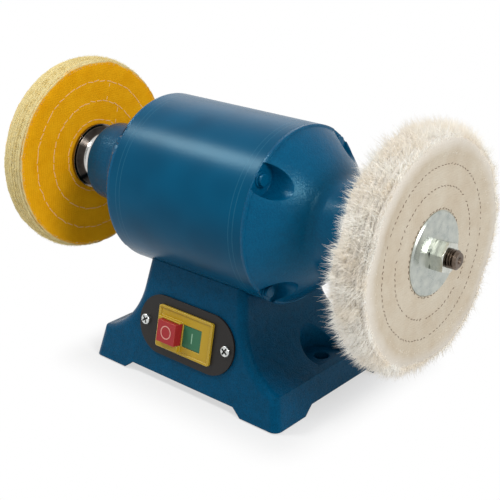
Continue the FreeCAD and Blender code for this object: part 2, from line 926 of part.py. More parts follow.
def make_stator():
    length = size("core_length")
    end = length / 2
    core = shaft_body("stator_core")
    pad(core, "YZ", length, -end,
        circles=[(0, 0, size("shell_radius") - size("shell_wall")), (0, 0, size("stator_bore"))])
    pocket(core, "YZ", length, end, circles=bolt_circles(size("stator_notch")))
    wide = size("lead_hole_radius") + size("lead_lip") + size("lead_room")
    channel = box_corners(-wide, wide, -size("shell_radius"), lead_lip_top() + size("lead_room"))
    pocket(core, "YZ", length, end, loops=[channel])
    slot = pocket(core, "YZ", length, end, loops=[slot_outline(Size(0, "0"), True)])
    repeat(core, slot, size("stator_slots"))
    gap = size("coil_gap")
    bend = (slot_tip() - size("slot_root")) * size("coil_roundness")
    low = size("slot_root") - gap
    high = slot_tip() + gap
    far = end + size("coil_overhang")
    ring = [(end + gap, low), (far - bend, low, bend), (far, low + bend), (far, high - bend, bend),
            (far - bend, high), (end + gap, high)]
    coils = shaft_body("stator_windings")
    for side in (1, -1):
        turned(coils, sided(ring, side))
    reach = end + size("coil_overhang") / 2
    bar = pad(coils, "YZ", reach * 2, -reach, loops=[slot_outline(gap, False)])
    repeat(coils, bar, size("stator_slots"))
    return core, coils


def bar_outline():
    narrow = size("bar_narrow")
    wide = size("bar_wide")
    return [(-narrow, size("bar_inner")), (narrow, size("bar_inner")), (wide, size("bar_outer")),
            (-wide, size("bar_outer"))]


def make_rotor():
    length = size("core_length")
    end = length / 2
    outer = size("stator_bore") - size("air_gap")
    core = shaft_body("rotor_core")
    pad(core, "YZ", length, -end, circles=[(0, 0, outer), (0, 0, size("core_seat"))])
    slot = pocket(core, "YZ", length, end, loops=[bar_outline()])
    repeat(core, slot, size("rotor_bars"))
    cage = shaft_body("rotor_cage")
    ring_top = size("bar_outer") + size("end_ring_cover")
    ring_end = end + size("end_ring")
    ring = [(end, size("end_ring_bore")), (ring_end, size("end_ring_bore")), (ring_end, ring_top),
            (end, ring_top)]
    for side in (1, -1):
        turned(cage, sided(ring, side))
    reach = end + size("end_ring") / 2
    bar = pad(cage, "YZ", reach * 2, -reach, loops=[bar_outline()])
    repeat(cage, bar, size("rotor_bars"))
    thick = size("blade_thickness")
    outline = box_corners(-thick, thick, size("blade_inner"), size("bar_outer"))
    blade_length = size("blade_length") + size("end_ring") / 2
    for start in (reach, -(reach + blade_length)):
        blade = pad(cage, "YZ", blade_length, start, loops=[outline])
        repeat(cage, blade, size("blades"))
    return core, cage


def make_shaft():
    far = from_shell("shaft_end")
    chamfer = size("shaft_chamfer")
    spindle = size("spindle")
    journal = size("journal")
    seat = size("core_seat")
    step = from_shell("journal_end")
    inner = from_shell("bearing_start")
    cone = size("centre_depth")
    right = [(far - cone, 0), (far, size("centre_hole")), (far, spindle - chamfer),
             (far - chamfer, spindle), (step, spindle), (step, journal), (inner, journal), (inner, seat)]
    left = [(-x, y) for x, y in reversed(right)]
    body = shaft_body("rotor_shaft")
    turned(body, right + left)
    return body


# ---------------------------------------------------------------- ball bearings

def bearing_middle():
    return from_shell("bearing_start") + size("bearing_width") / 2


def make_rings():
    start = from_shell("bearing_start")
    end = start + size("bearing_width")
    middle = bearing_middle()
    pitch = size("ball_pitch")
    race = size("ball_radius") + size("ball_gap")
    lip = size("bearing_lip")
    reach = root(race * race - (lip - pitch) * (lip - pitch))
    outer = size("bearing_outer")
    outer_ring = [(start, lip), (middle - reach, lip, -race), (middle + reach, lip), (end, lip),
                  (end, outer), (start, outer)]
    top = size("inner_ring_top")
    reach_in = root(race * race - (pitch - top) * (pitch - top))
    bore = size("journal")
    inner_ring = [(start, bore), (end, bore), (end, top), (middle + reach_in, top, -race),
                  (middle - reach_in, top), (start, top)]
    outers = shaft_body("bearing_outer_rings")
    inners = shaft_body("bearing_inner_rings")
    shields = shaft_body("bearing_shields")
    near = size("shield_start")
    sheet_metal = size("shield_sheet")
    for side in (1, -1):
        turned(outers, sided(outer_ring, side))
        turned(inners, sided(inner_ring, side))
        for first in (middle + near, middle - near - sheet_metal):
            disc = box_corners(first, first + sheet_metal, size("shield_inner"), lip)
            turned(shields, sided(disc, side))
    return outers, inners, shields


def make_ball_sets():
    middle = bearing_middle()
    pitch = size("ball_pitch")
    radius = size("ball_radius")
    body = shaft_body("bearing_ball_sets")
    for side in (1, -1):
        ring = box_corners(middle - size("cage_back"), middle + size("cage_front"),
                           size("cage_inner"), size("cage_outer"))
        turned(body, sided(ring, side))
        hole = ball_feature(body, "Groove", side * middle, pitch, radius + size("cage_gap"))
        repeat(body, hole, size("balls"))
        ball = ball_feature(body, "Revolution", side * middle, pitch, radius)
        repeat(body, ball, size("balls"))
    return body


def ball_feature(body, kind, x, pitch, radius):
    """A sphere made by turning a half circle about a line along the shaft."""
    sketch = new_sketch(body, "XZ")
    half = [(x + radius, pitch, radius), (x, pitch + radius, radius), (x - radius, pitch)]
    draw_loop(sketch, half)
    line = sketch.GeometryCount
    sketch.addGeometry(Part.LineSegment(V(x - radius, pitch, 0), V(x + radius, pitch, 0)), True)
    sketch.addConstraint(Sketcher.Constraint("Coincident", line, 1, 2, 1))
    sketch.addConstraint(Sketcher.Constraint("Coincident", line, 2, 0, 1))
    return feature(body, kind, sketch, ReferenceAxis=(sketch, ["Axis0"]), Angle=360)


def make_washer_and_seals():
    end = from_shell("bearing_start") + size("bearing_width")
    washer = shaft_body("wave_washer")
    ring = box_corners(end, end + size("wave_washer"), size("ring_shoulder"),
                       size("bearing_outer") - size("wave_washer_gap"))
    turned(washer, sided(ring, -1))
    seals = shaft_body("dust_seals")
    felt = box_corners(end + size("shoulder_width"), from_shell("bell_nose"),
                       size("journal") + size("seal_gap"), size("seal_radius"))
    for side in (1, -1):
        turned(seals, sided(felt, side))
    return washer, seals


# ---------------------------------------------------------------- flanges, nuts and buffs

def make_inner_flange(label, side):
    step = from_shell("journal_end")
    face = from_shell("buff_face")
    rim = size("flange_radius")
    bore = size("spindle")
    hub = step + size("hub_length")
    chamfer = size("flange_chamfer")
    back = face - size("flange_rim")
    profile = [
        (step, bore), (face, bore), (face, rim - chamfer), (face - chamfer, rim), (back, rim),
        (back, rim - size("flange_step")), (from_shell("cone_end"), size("cone_radius")),
        (hub, size("cone_foot_radius")), (hub, size("hub_radius")), (step, size("hub_radius"))]
    body = shaft_body(label)
    turned(body, sided(profile, side))
    return body


def make_buff(label, side):
    inner = from_shell("buff_face")
    outer = inner + size("buff_hub")
    middle = inner + size("buff_hub") / 2
    spread = size("buff_spread")
    flat = size("buff_radius") - size("buff_flat_inset")
    shoulder = size("buff_radius") - size("buff_rim_inset")
    bend = size("buff_rim_bend")
    profile = [
        (inner, size("spindle")), (outer, size("spindle")), (outer, flat),
        (outer + spread, shoulder, bend), (middle, size("buff_radius"), bend),
        (inner - spread, shoulder), (inner, flat)]
    body = shaft_body(label)
    turned(body, sided(profile, side))
    return body


def make_outer_flange(label, side):
    seat = from_shell("buff_face") + size("buff_hub")
    metal = size("washer_sheet")
    top = seat + size("washer_height")
    rim = size("washer_radius")
    land = size("washer_land")
    hub = size("washer_hub")
    bore = size("spindle")
    chamfer = size("washer_chamfer")
    front = seat + metal
    profile = [
        (seat, land), (top - metal, hub), (top - metal, bore), (top, bore), (top, hub),
        (front, land), (front, rim - chamfer), (front - chamfer, rim), (seat, rim)]
    body = shaft_body(label)
    turned(body, sided(list(reversed(profile)), side))
    return body


def make_nut(label, side):
    seat = from_shell("buff_face") + size("buff_hub") + size("washer_height")
    thick = size("nut_thickness")
    flats = size("nut_half_flats")
    bore = size("spindle")
    start = seat if side > 0 else -(seat + thick)
    body = shaft_body(label)
    pad(body, "YZ", thick, start, loops=[turned_hexagon(flats, size("nut_turn"))], circles=[(0, 0, bore)])
    high = size("nut_cut_radius")
    chamfer = size("nut_chamfer")
    end = seat + thick
    inside = [(end, flats), (end, high), (end - chamfer, high)]
    turned(body, sided(inside, side), "Groove")
    outside = [(seat, high), (seat, flats), (seat + chamfer, high)]
    turned(body, sided(outside, side), "Groove")
    return body


# ---------------------------------------------------------------- switch

def make_switch_plate():
    reach = size("plate_half_length")
    bend = size("plate_radius")
    straight = reach - bend
    outline = [(-straight, -bend), (straight, -bend, bend), (reach, 0, bend), (straight, bend),
               (-straight, bend, bend), (-reach, 0, bend)]
    gap = size("button_gap")
    wide = size("cutout_half_width") + gap
    high = size("cutout_half_height") + gap
    holes = size("plate_screw_reach")
    shank = size("screw_radius") + gap
    plate = switch_body_at_front("switch_plate")
    pad(plate, "XY", size("plate_sheet"), loops=[outline, box_corners(-wide, wide, -high, high)],
        circles=[(-holes, 0, shank), (holes, 0, shank)])
    screws = switch_body_at_front("switch_plate_screws")
    length = size("plate_screw_length")
    head = size("screw_head_radius")
    pad(screws, "XY", length, size("plate_sheet") - length,
        circles=[(-holes, 0, size("screw_radius")), (holes, 0, size("screw_radius"))])
    pad(screws, "XY", size("screw_head"), size("plate_sheet"), circles=[(-holes, 0, head), (holes, 0, head)])
    return plate, screws


def button_windows(grow_y):
    """The stop window and the start window; both sit a little below the bezel's middle."""
    left = -size("stop_edge")
    width = size("button_width")
    middle = left + width + size("rib")
    low = -size("button_half_height") - size("button_drop") - grow_y
    high = size("button_half_height") - size("button_drop") + grow_y
    return [box_corners(left, left + width, low, high), box_corners(middle, middle + width, low, high)]


def make_switch():
    wide = size("bezel_half_width")
    high = size("bezel_half_height")
    seat = size("plate_sheet")
    top = seat + size("bezel_height")
    none = Size(0, "0")
    bezel = switch_body_at_front("switch_bezel")
    pad(bezel, "XY", size("bezel_height"), seat,
        loops=[rounded_corners(-wide, wide, -high, high, size("bezel_rim"))])
    inner_x = wide - size("bezel_rim")
    inner_y = high - size("bezel_rim")
    inside = box_corners(-inner_x, inner_x, -inner_y, inner_y)
    pocket(bezel, "XY", size("bezel_rim_height"), top, loops=[inside])
    # The collar guards the stop button at the left, the top and the bottom.
    stop_window = button_windows(none)[0]
    _, _, (collar_right, window_high), _ = stop_window
    collar = box_corners(-size("collar_left"), collar_right, -size("collar_low"),
                         window_high + size("collar_wall"))
    collar_foot = top - size("bezel_rim_height")
    collar_top = top + size("collar_height")
    pad(bezel, "XY", collar_top - collar_foot, collar_foot, loops=[collar])
    pocket(bezel, "XY", collar_top - seat, collar_top, loops=button_windows(none))
    case = switch_body_at_front("switch_body")
    case_x = size("cutout_half_width")
    case_y = size("cutout_half_height")
    pad(case, "XY", size("switch_depth"), seat - size("switch_depth"),
        loops=[box_corners(-case_x, case_x, -case_y, case_y)])
    pocket(case, "XY", size("well_depth"), seat, loops=button_windows(size("skirt")))
    terminals = switch_body_at_front("switch_terminals")
    back = seat - size("switch_depth")
    blades = []
    half = size("terminal_half_width")
    thin = size("terminal_half_sheet")
    length = size("terminal_length")
    for column in ("terminal_inner_column", "terminal_outer_column"):
        for side in (-1, 1):
            for y in (-size("terminal_row"), size("terminal_row")):
                x = side * size(column)
                blades.append(box_corners(x - half, x + half, y - thin, y + thin))
    pad(terminals, "XY", length, back - length, loops=blades)
    return bezel, case, terminals


def shrunk(corners, gap):
    (left, low), _, (right, high), _ = corners
    return box_corners(left + gap, right - gap, low + gap, high - gap)


def make_button(label, index, top):
    """A push button: its cap stands in the bezel window, its skirt below the bezel holds it in."""
    gap = size("button_gap")
    seat = size("plate_sheet")
    window = button_windows(Size(0, "0"))[index]
    well = button_windows(size("skirt"))[index]
    body = switch_body_at_front(label)
    pad(body, "XY", size("skirt_depth"), seat - gap - size("skirt_depth"), loops=[shrunk(well, gap)])
    pad(body, "XY", top - (seat - gap), seat - gap, loops=[shrunk(window, gap)])
    return body


# ---------------------------------------------------------------- inside the pedestal

def floor_level():
    return size("cover_height") + size("cover_sheet")


def strap_screw_circles(radius):
    reach = size("can_radius") + size("strap_hole")
    return [(0, size("can_y") - reach, radius), (0, size("can_y") + reach, radius)]


def make_capacitor():
    radius = size("can_radius")
    length = size("can_length")
    can = new_body("run_capacitor", 0, size("can_y"), floor_level() + radius)
    rim = size("can_rim")
    pad(can, "YZ", length, -length / 2, circles=[(0, 0, radius)])
    pad(can, "YZ", rim, length / 2, circles=[(0, 0, radius - rim)])
    thin = size("tag_half_sheet")
    high = size("tag_half_height")
    reach = size("tag_reach")
    tags = [box_corners(y - thin, y + thin, -high, high) for y in (-reach, reach)]
    pad(can, "YZ", size("tag_length"), length / 2 + rim, loops=tags)
    metal = size("strap_sheet")
    outer = radius + metal
    foot = radius + size("strap_foot")
    profile = [(-foot, -radius), (-radius, -radius), (-radius, 0, -radius), (0, radius, -radius),
               (radius, 0), (radius, -radius), (foot, -radius), (foot, metal - radius),
               (outer, metal - radius), (outer, 0, outer), (0, outer, outer), (-outer, 0),
               (-outer, metal - radius), (-foot, metal - radius)]
    half = size("strap_half_width")
    strap = new_body("capacitor_clamp", 0, size("can_y"), floor_level() + radius)
    pad(strap, "YZ", half * 2, -half, loops=[profile])
    screw = size("screw_radius")
    hole_reach = radius + size("strap_hole")
    pocket(strap, "XY", radius + metal, circles=[(0, -hole_reach, screw), (0, hole_reach, screw)])
    screws = new_body("capacitor_clamp_screws", 0, 0, size("cover_height"))
    pad(screws, "XY", size("cover_sheet") + metal, circles=strap_screw_circles(screw))
    pad(screws, "XY", size("screw_head"), size("cover_sheet") + metal,
        circles=strap_screw_circles(size("screw_head_radius")))
    return can, strap, screws


def make_terminal_block():
    length = size("block_length")
    depth = size("block_depth")
    height = size("block_height")
    x = size("base_width") / 2 - size("block_inset")
    body = new_body("terminal_block", x, -size("block_y"), floor_level())
    pad(body, "XY", height, loops=[box_corners(-length / 2, length / 2, -depth / 2, depth / 2)])
    pole = length / 3
    step = height / 3
    steps = [box_corners(-length / 2, length / 2, -depth / 2, -depth / 4),
             box_corners(-length / 2, length / 2, depth / 4, depth / 2)]
    pocket(body, "XY", step, height, loops=steps)
    wells = [(pole * i, 0, size("screw_radius")) for i in (-1, 0, 1)]
    pocket(body, "XY", step * 2, height, circles=wells)
    screws = new_body("terminal_screws", x, -size("block_y"), floor_level())
    pad(screws, "XY", step, step, circles=wells)
    return body, screws


def lead_lip_top():
    """The top of the lead grommet inside the shell, below the shaft line."""
    return size("lead_gap") + size("grommet_lip") - (size("shell_radius") - size("shell_wall"))


def make_grommets():
    lip = size("grommet_lip")
    neck = size("grommet_neck")
    flange = size("grommet_flange")
    bore = size("grommet_bore")
    wall = size("inlet_wall")
    cord = new_body("cord_grommet", -size("inlet_x"), inlet_floor(), size("inlet_height"))
    # In the XZ view the pads run towards the front, so the outer lip starts behind the wall face.
    pad(cord, "XZ", lip, -lip, circles=[(0, 0, flange), (0, 0, bore)])
    pad(cord, "XZ", wall, circles=[(0, 0, neck), (0, 0, bore)])
    pad(cord, "XZ", lip, wall, circles=[(0, 0, flange), (0, 0, bore)])
    lead = shaft_body("lead_grommet")
    top = lead_lip_top() - lip
    roof = -(size("shell_radius") + size("saddle_wall"))
    hole = size("lead_hole_radius")
    inner = size("lead_bore")
    wide = hole + size("lead_lip")
    pad(lead, "XY", top - roof, roof, circles=[(0, 0, hole - size("lead_play")), (0, 0, inner)])
    pad(lead, "XY", lip, top, circles=[(0, 0, wide), (0, 0, inner)])
    pad(lead, "XY", lip, roof - lip, circles=[(0, 0, wide), (0, 0, inner)])
    return cord, lead


# ---------------------------------------------------------------- build, check and write

nodes = [make_pedestal(), make_feet(), *make_cover(), make_shell()]
nodes += [make_bell("end_bell_left", -1), make_bell("end_bell_right", 1)]
nodes += [*make_tie_bolts(), *make_saddle_bolts(), *make_stator(), *make_rotor(), make_shaft()]
nodes += [*make_rings(), make_ball_sets(), *make_washer_and_seals()]
nodes += [make_inner_flange("inner_flange_left", -1), make_inner_flange("inner_flange_right", 1)]
nodes += [make_buff("buff_yellow", -1), make_buff("buff_white", 1)]
nodes += [make_outer_flange("outer_flange_left", -1), make_outer_flange("outer_flange_right", 1)]
nodes += [make_nut("nut_left", -1), make_nut("nut_right", 1)]
nodes += [*make_switch_plate(), *make_switch()]
nodes += [make_button("stop_button", 0, size("stop_top"))]
nodes += [make_button("start_button", 1, size("plate_sheet") + size("bezel_height") - size("start_sink"))]
nodes += [*make_capacitor(), *make_terminal_block(), *make_grommets()]
doc.recompute()

faults = []
for item in doc.Objects:
    if "Invalid" in item.State or "Error" in item.State:
        faults.append(f"{item.Label}: {item.State}")
for item in nodes:
    if item.Shape.isNull() or not item.Shape.isValid() or item.Shape.Volume <= 0:
        faults.append(f"{item.Label}: bad shape")
if faults:
    raise RuntimeError("; ".join(faults))

os.makedirs("parts", exist_ok=True)
for item in nodes:
    item.Shape.exportStep(f"parts/{item.Label}.step")
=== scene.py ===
import json
import math
import random

import bmesh
import bpy
from mathutils import Matrix, Vector


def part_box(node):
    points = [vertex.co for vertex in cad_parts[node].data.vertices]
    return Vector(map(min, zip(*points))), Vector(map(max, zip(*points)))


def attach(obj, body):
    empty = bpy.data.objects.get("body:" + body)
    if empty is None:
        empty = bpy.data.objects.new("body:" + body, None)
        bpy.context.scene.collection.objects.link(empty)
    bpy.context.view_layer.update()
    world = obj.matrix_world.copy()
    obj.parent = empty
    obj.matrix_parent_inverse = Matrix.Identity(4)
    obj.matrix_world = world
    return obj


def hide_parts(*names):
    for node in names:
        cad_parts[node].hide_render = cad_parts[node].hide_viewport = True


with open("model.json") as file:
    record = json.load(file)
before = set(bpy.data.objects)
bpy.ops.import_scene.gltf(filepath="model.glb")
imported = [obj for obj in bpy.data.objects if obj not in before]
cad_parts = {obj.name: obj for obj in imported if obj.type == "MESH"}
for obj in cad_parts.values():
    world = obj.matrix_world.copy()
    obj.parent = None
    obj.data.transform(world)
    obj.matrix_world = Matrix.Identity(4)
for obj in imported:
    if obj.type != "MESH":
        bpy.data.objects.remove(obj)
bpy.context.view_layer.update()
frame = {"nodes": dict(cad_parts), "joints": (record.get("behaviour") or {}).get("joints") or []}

MM = 0.001


def joint_place(name):
    """The point that a joint of the frame turns about."""
    return Vector(next(joint["pos_m"] for joint in frame["joints"] if joint["name"] == name))


def middle_of(node):
    """The middle of a node's box."""
    low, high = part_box(node)
    return (low + high) / 2


# The shaft line runs along X, with the white buff at +X. The front of the machine faces -Y.
SHAFT = joint_place("rotor_spin")
SHAFT_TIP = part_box("rotor_shaft")[1].x
BUFF_MIDDLE = middle_of("buff_white").x
BUFF_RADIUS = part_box("buff_white")[1].z - SHAFT.z
BUFF_FACE = 10 * MM               # half the thickness that the flanges clamp
BUFF_BORE = 5.8 * MM              # radius of the hole, which is tight on the shaft

# The pedestal's front leans back, and the switch sits in it.
FRONT_LEAN = math.atan(0.21)
BASE_FRONT = -70 * MM
SWITCH_HEIGHT = 42 * MM
SIGN_PROUD = 0.12 * MM            # how far a printed sign stands out of its button

PIGMENT_HAZE = "#A6EEFF"          # blue pigment at the surface of the enamel tints what it mirrors
WAVE_BANDS = 20 / math.tau        # bands that a wave texture has in one unit at a scale of 1


# ---------------------------------------------------------------- camera

def make_camera():
    """Looks down at the machine from the right of its front, in a square frame."""
    azimuth = math.radians(40.82)
    elevation = math.radians(22.44)
    aim = Vector((15.4 * MM, -13.0 * MM, 93.3 * MM))
    distance = 733.0 * MM
    frame_width = 500             # pixels
    focal_length = 1064.86        # pixels
    sensor_width = 36             # mm
    away = Vector((math.sin(azimuth) * math.cos(elevation),
                   -math.cos(azimuth) * math.cos(elevation), math.sin(elevation)))
    data = bpy.data.cameras.new("camera")
    data.sensor_width = sensor_width
    data.lens = sensor_width * focal_length / frame_width
    camera = bpy.data.objects.new("camera", data)
    camera.location = aim + away * distance
    camera.rotation_euler = (-away).to_track_quat("-Z", "Y").to_euler()
    bpy.context.scene.collection.objects.link(camera)
    bpy.context.scene.camera = camera


# ---------------------------------------------------------------- mesh helpers

def new_object(name, bm, body, material, smooth=True):
    """A finished piece from a bmesh, at the origin, riding on its body."""
    mesh = bpy.data.meshes.new(name)
    bm.normal_update()
    bm.to_mesh(mesh)
    bm.free()
    if smooth:
        for polygon in mesh.polygons:
            polygon.use_smooth = True
    piece = bpy.data.objects.new(name, mesh)
    bpy.context.scene.collection.objects.link(piece)
    mesh.materials.append(material)
    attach(piece, body)
    return piece


def turned(bm, profile, steps):
    """Turn a closed outline of (x, radius) points about the shaft line."""
    verts = [bm.verts.new((x, SHAFT.y, SHAFT.z + radius)) for x, radius in profile]
    edges = [bm.edges.new(pair) for pair in zip(verts, verts[1:])]
    bmesh.ops.spin(bm, geom=verts + edges, cent=SHAFT, axis=(1, 0, 0), angle=math.tau,
                   steps=steps, use_merge=True)
    bmesh.ops.remove_doubles(bm, verts=bm.verts[:], dist=1e-6)


def cut_off(bm, place, towards):
    """Cuts away what lies beyond a place on the X axis, towards +X (1) or -X (-1)."""
    bmesh.ops.bisect_plane(bm, geom=bm.verts[:] + bm.edges[:] + bm.faces[:], plane_co=(place, 0, 0),
                           plane_no=(towards, 0, 0), clear_outer=True)


def close_holes(bm):
    bmesh.ops.holes_fill(bm, edges=[edge for edge in bm.edges if edge.is_boundary])


def outwards(bm):
    """Turns every face to the outside of its shell."""
    bmesh.ops.recalc_face_normals(bm, faces=bm.faces[:])


def join(bm, part):
    """Moves what one bmesh holds into another."""
    mesh = bpy.data.meshes.new("part")
    part.to_mesh(mesh)
    part.free()
    bm.from_mesh(mesh)
    bpy.data.meshes.remove(mesh)


def new_verts(made):
    """The vertices in what an operator made."""
    return [item for item in made if isinstance(item, bmesh.types.BMVert)]


def front_matrix():
    """From the switch's own axes, right, up and out of the front, to the frame's."""
    turn = Matrix.Rotation(math.pi / 2 - FRONT_LEAN, 4, "X")
    y = BASE_FRONT + math.tan(FRONT_LEAN) * SWITCH_HEIGHT
    return Matrix.Translation((0, y, SWITCH_HEIGHT)) @ turn


# ---------------------------------------------------------------- materials

def rgb(text):
    """An sRGB hex colour as the linear colour that sockets take."""
    channels = [int(text[i:i + 2], 16) / 255 for i in (1, 3, 5)]
    linear = [c / 12.92 if c <= 0.04045 else ((c + 0.055) / 1.055) ** 2.4 for c in channels]
    return (*linear, 1.0)


def add(tree, kind, links=None, stops=(), **settings):
    """A node with its settings. A link is a socket's value, or a (node, output) to join to it. The
    stops of a colour ramp are (place, colour)."""
    item = tree.nodes.new(kind)
    for key, value in settings.items():
        setattr(item, key, value)
    for key, value in (links or {}).items():
        if isinstance(value, tuple) and isinstance(value[0], bpy.types.Node):
            tree.links.new(value[0].outputs[value[1]], item.inputs[key])
        else:
            item.inputs[key].default_value = value
    if stops:
        elements = item.color_ramp.elements
        elements[0].position = stops[0][0]
        elements[1].position = stops[-1][0]
        for place, _ in stops[1:-1]:
            elements.new(place)
        for element, (_, colour) in zip(elements, stops):
            element.color = colour
    return item


def new_material(name):
    material = bpy.data.materials.new(name)
    material.use_nodes = True
    tree = material.node_tree
    tree.nodes.clear()
    return material, tree


def shaft_distance(tree, where):
    """How far a point is from the shaft line."""
    centred = add(tree, "ShaderNodeMapping", {"Vector": (where, "Object"), "Location": -SHAFT})
    flat = add(tree, "ShaderNodeVectorMath", {0: (centred, 0), 1: (0, 1, 1)}, operation="MULTIPLY")
    return add(tree, "ShaderNodeVectorMath", {0: (flat, 0)}, operation="LENGTH")


def cast_paint(name, colour, deep, grain, depth, roughness, mottle, gloss):
    """Enamel sprayed on an iron casting: it rounds off the sand grain into soft pits, so the
    gloss breaks up into speckles. A pit is grain wide and depth deep, in mm. The colour turns to
    deep in the pits, a painted shade of the grain, over a broader mottle of the enamel's own tone."""
    material, tree = new_material(name)
    where = add(tree, "ShaderNodeTexCoord")
    pits = add(tree, "ShaderNodeTexNoise", {"Vector": (where, "Object"), "Scale": 1 / (grain * MM),
                                            "Detail": 3.0, "Roughness": 0.55})
    lumps = add(tree, "ShaderNodeTexNoise", {"Vector": (where, "Object"), "Scale": 1 / (grain * 6 * MM),
                                             "Detail": 2.0})
    both = add(tree, "ShaderNodeMath", {0: (pits, "Fac"), 1: (lumps, "Fac")}, operation="ADD")
    edge = add(tree, "ShaderNodeBevel", {"Radius": 1.1 * MM}, samples=4)
    bump = add(tree, "ShaderNodeBump", {"Height": (both, 0), "Distance": depth * MM, "Strength": 1.0,
                                        "Normal": (edge, 0)})
    # Painted shade: the colour darkens towards deep where the bump sinks into its pits; the broad lumps
    # add the enamel's own mottle.
    broad = add(tree, "ShaderNodeMath", {0: (lumps, "Fac"), 1: 0.3}, operation="MULTIPLY")
    tone = add(tree, "ShaderNodeMath", {0: (pits, "Fac"), 1: 0.7, 2: (broad, 0)},
               operation="MULTIPLY_ADD")
    shade = add(tree, "ShaderNodeValToRGB", {"Fac": (tone, 0)}, [(0.4, rgb(deep)), (0.6, rgb(colour))])
    rough = add(tree, "ShaderNodeMapRange", {"Value": (pits, "Fac"), "From Min": 0.3, "From Max": 0.7,
                                             "To Min": roughness - mottle, "To Max": roughness + mottle})
    surface = add(tree, "ShaderNodeBsdfPrincipled", {
        "Base Color": (shade, 0), "Roughness": (rough, 0), "IOR": 1.5, "Normal": (bump, 0),
        "Specular IOR Level": gloss, "Specular Tint": rgb(PIGMENT_HAZE)})
    add(tree, "ShaderNodeOutputMaterial", {"Surface": (surface, 0)})
    return material


def shell_paint():
    """Gloss enamel on rolled steel: nearly smooth, with a faint orange peel that bends reflections
    and two rolled rings near each end, grooved by a bump and painted a lighter blue, a thin painted
    highlight."""
    inner_ring = 49.0 * MM
    outer_ring = 52.5 * MM
    ring_half_width = 0.35 * MM
    material, tree = new_material("gloss_enamel_on_rolled_steel")
    where = add(tree, "ShaderNodeTexCoord")
    peel = add(tree, "ShaderNodeTexNoise", {"Vector": (where, "Object"), "Scale": 1 / (2.2 * MM),
                                            "Detail": 2.0})
    waves = add(tree, "ShaderNodeTexNoise", {"Vector": (where, "Object"), "Scale": 1 / (35 * MM),
                                             "Detail": 1.0})
    total = add(tree, "ShaderNodeMath", {0: (waves, "Fac"), 1: 6.0, 2: (peel, "Fac")},
                operation="MULTIPLY_ADD")
    edge = add(tree, "ShaderNodeBevel", {"Radius": 0.5 * MM}, samples=4)
    bump = add(tree, "ShaderNodeBump", {"Height": (total, 0), "Distance": 0.03 * MM, "Strength": 1.0,
                                        "Normal": (edge, 0)})
    apart = add(tree, "ShaderNodeSeparateXYZ", {"Vector": (where, "Object")})
    reach = add(tree, "ShaderNodeMath", {0: (apart, "X")}, operation="ABSOLUTE")
    inner = add(tree, "ShaderNodeMath", {0: (reach, 0), 1: inner_ring, 2: ring_half_width},
                operation="COMPARE")
    outer = add(tree, "ShaderNodeMath", {0: (reach, 0), 1: outer_ring, 2: ring_half_width},
                operation="COMPARE")
    rings = add(tree, "ShaderNodeMath", {0: (inner, 0), 1: (outer, 0)}, operation="ADD")
    grooved = add(tree, "ShaderNodeBump", {"Height": (rings, 0), "Distance": -0.15 * MM, "Strength": 0.8,
                                           "Normal": (bump, 0)})
    body = add(tree, "ShaderNodeValToRGB", {"Fac": (waves, 0)},
               [(0.35, rgb("#004666")), (0.65, rgb("#004E70"))])
    # Painted highlight: the rolled rings are mixed a fifth of the way to a lighter blue.
    rim_wear_and_ring_highlight = add(tree, "ShaderNodeMath", {0: (rings, 0), 1: 0.2}, operation="MULTIPLY")
    shade = add(tree, "ShaderNodeMix", {"Factor": (rim_wear_and_ring_highlight, 0), 6: (body, 0), 7: rgb("#3C7F9A")},
                data_type="RGBA")
    surface = add(tree, "ShaderNodeBsdfPrincipled", {
        "Base Color": (shade, 2), "Roughness": 0.27, "IOR": 1.5, "Normal": (grooved, 0),
        "Specular IOR Level": 0.11, "Specular Tint": rgb(PIGMENT_HAZE)})
    add(tree, "ShaderNodeOutputMaterial", {"Surface": (surface, 0)})
    return material


def metal(name, colour, roughness, stain=None, marks=0.0, bands=()):
    """Bare or plated metal, clouded by handling. A turned face carries fine rings, marks mm deep,
    that stretch the highlight. Its bands are painted reflections: bright and dark rings of colour,
    as (radius in mm, colour)."""
    band_reach = 30               # mm, beyond the outermost band
    material, tree = new_material(name)
    where = add(tree, "ShaderNodeTexCoord")
    cloud = add(tree, "ShaderNodeTexNoise", {"Vector": (where, "Object"), "Scale": 1 / (5 * MM),
                                             "Detail": 4.0})
    shade = add(tree, "ShaderNodeValToRGB", {"Fac": (cloud, 0)},
                [(0.3, rgb(stain or colour)), (0.7, rgb(colour))])
    rough = add(tree, "ShaderNodeMapRange", {"Value": (cloud, "Fac"), "From Min": 0.3, "From Max": 0.7,
                                             "To Min": roughness * 0.8, "To Max": roughness * 1.3})
    edge = add(tree, "ShaderNodeBevel", {"Radius": 0.25 * MM}, samples=4)
    links = {"Base Color": (shade, 0), "Metallic": 1.0, "Roughness": (rough, 0), "Normal": (edge, 0)}
    if marks:
        # Real tool marks are about 0.1 mm apart. They are drawn at 0.25 mm, so that they show.
        reach = shaft_distance(tree, where)
        rings = add(tree, "ShaderNodeTexNoise", {"W": (reach, "Value"), "Scale": 1 / (0.25 * MM),
                                                 "Detail": 2.0}, noise_dimensions="1D")
        bump = add(tree, "ShaderNodeBump", {"Height": (rings, 0), "Distance": marks * MM,
                                            "Strength": 1.0, "Normal": (edge, 0)})
        links["Normal"] = (bump, 0)
        if bands:
            # The bands are painted reflections: bright and dark rings of colour by radius, mixed over the
            # metal's own colour.
            place = add(tree, "ShaderNodeMapRange", {"Value": (reach, "Value"),
                                                     "From Max": band_reach * MM})
            painted_reflection_rings = add(tree, "ShaderNodeValToRGB", {"Fac": (place, 0)},
                         [(radius / band_reach, rgb(tone)) for radius, tone in bands])
            with_painted_reflections = add(tree, "ShaderNodeMix", {"Factor": 0.85, 6: (shade, 0), 7: (painted_reflection_rings, 0)},
                         data_type="RGBA")
            links["Base Color"] = (with_painted_reflections, 2)
    surface = add(tree, "ShaderNodeBsdfPrincipled", links)
    add(tree, "ShaderNodeOutputMaterial", {"Surface": (surface, 0)})
    return material


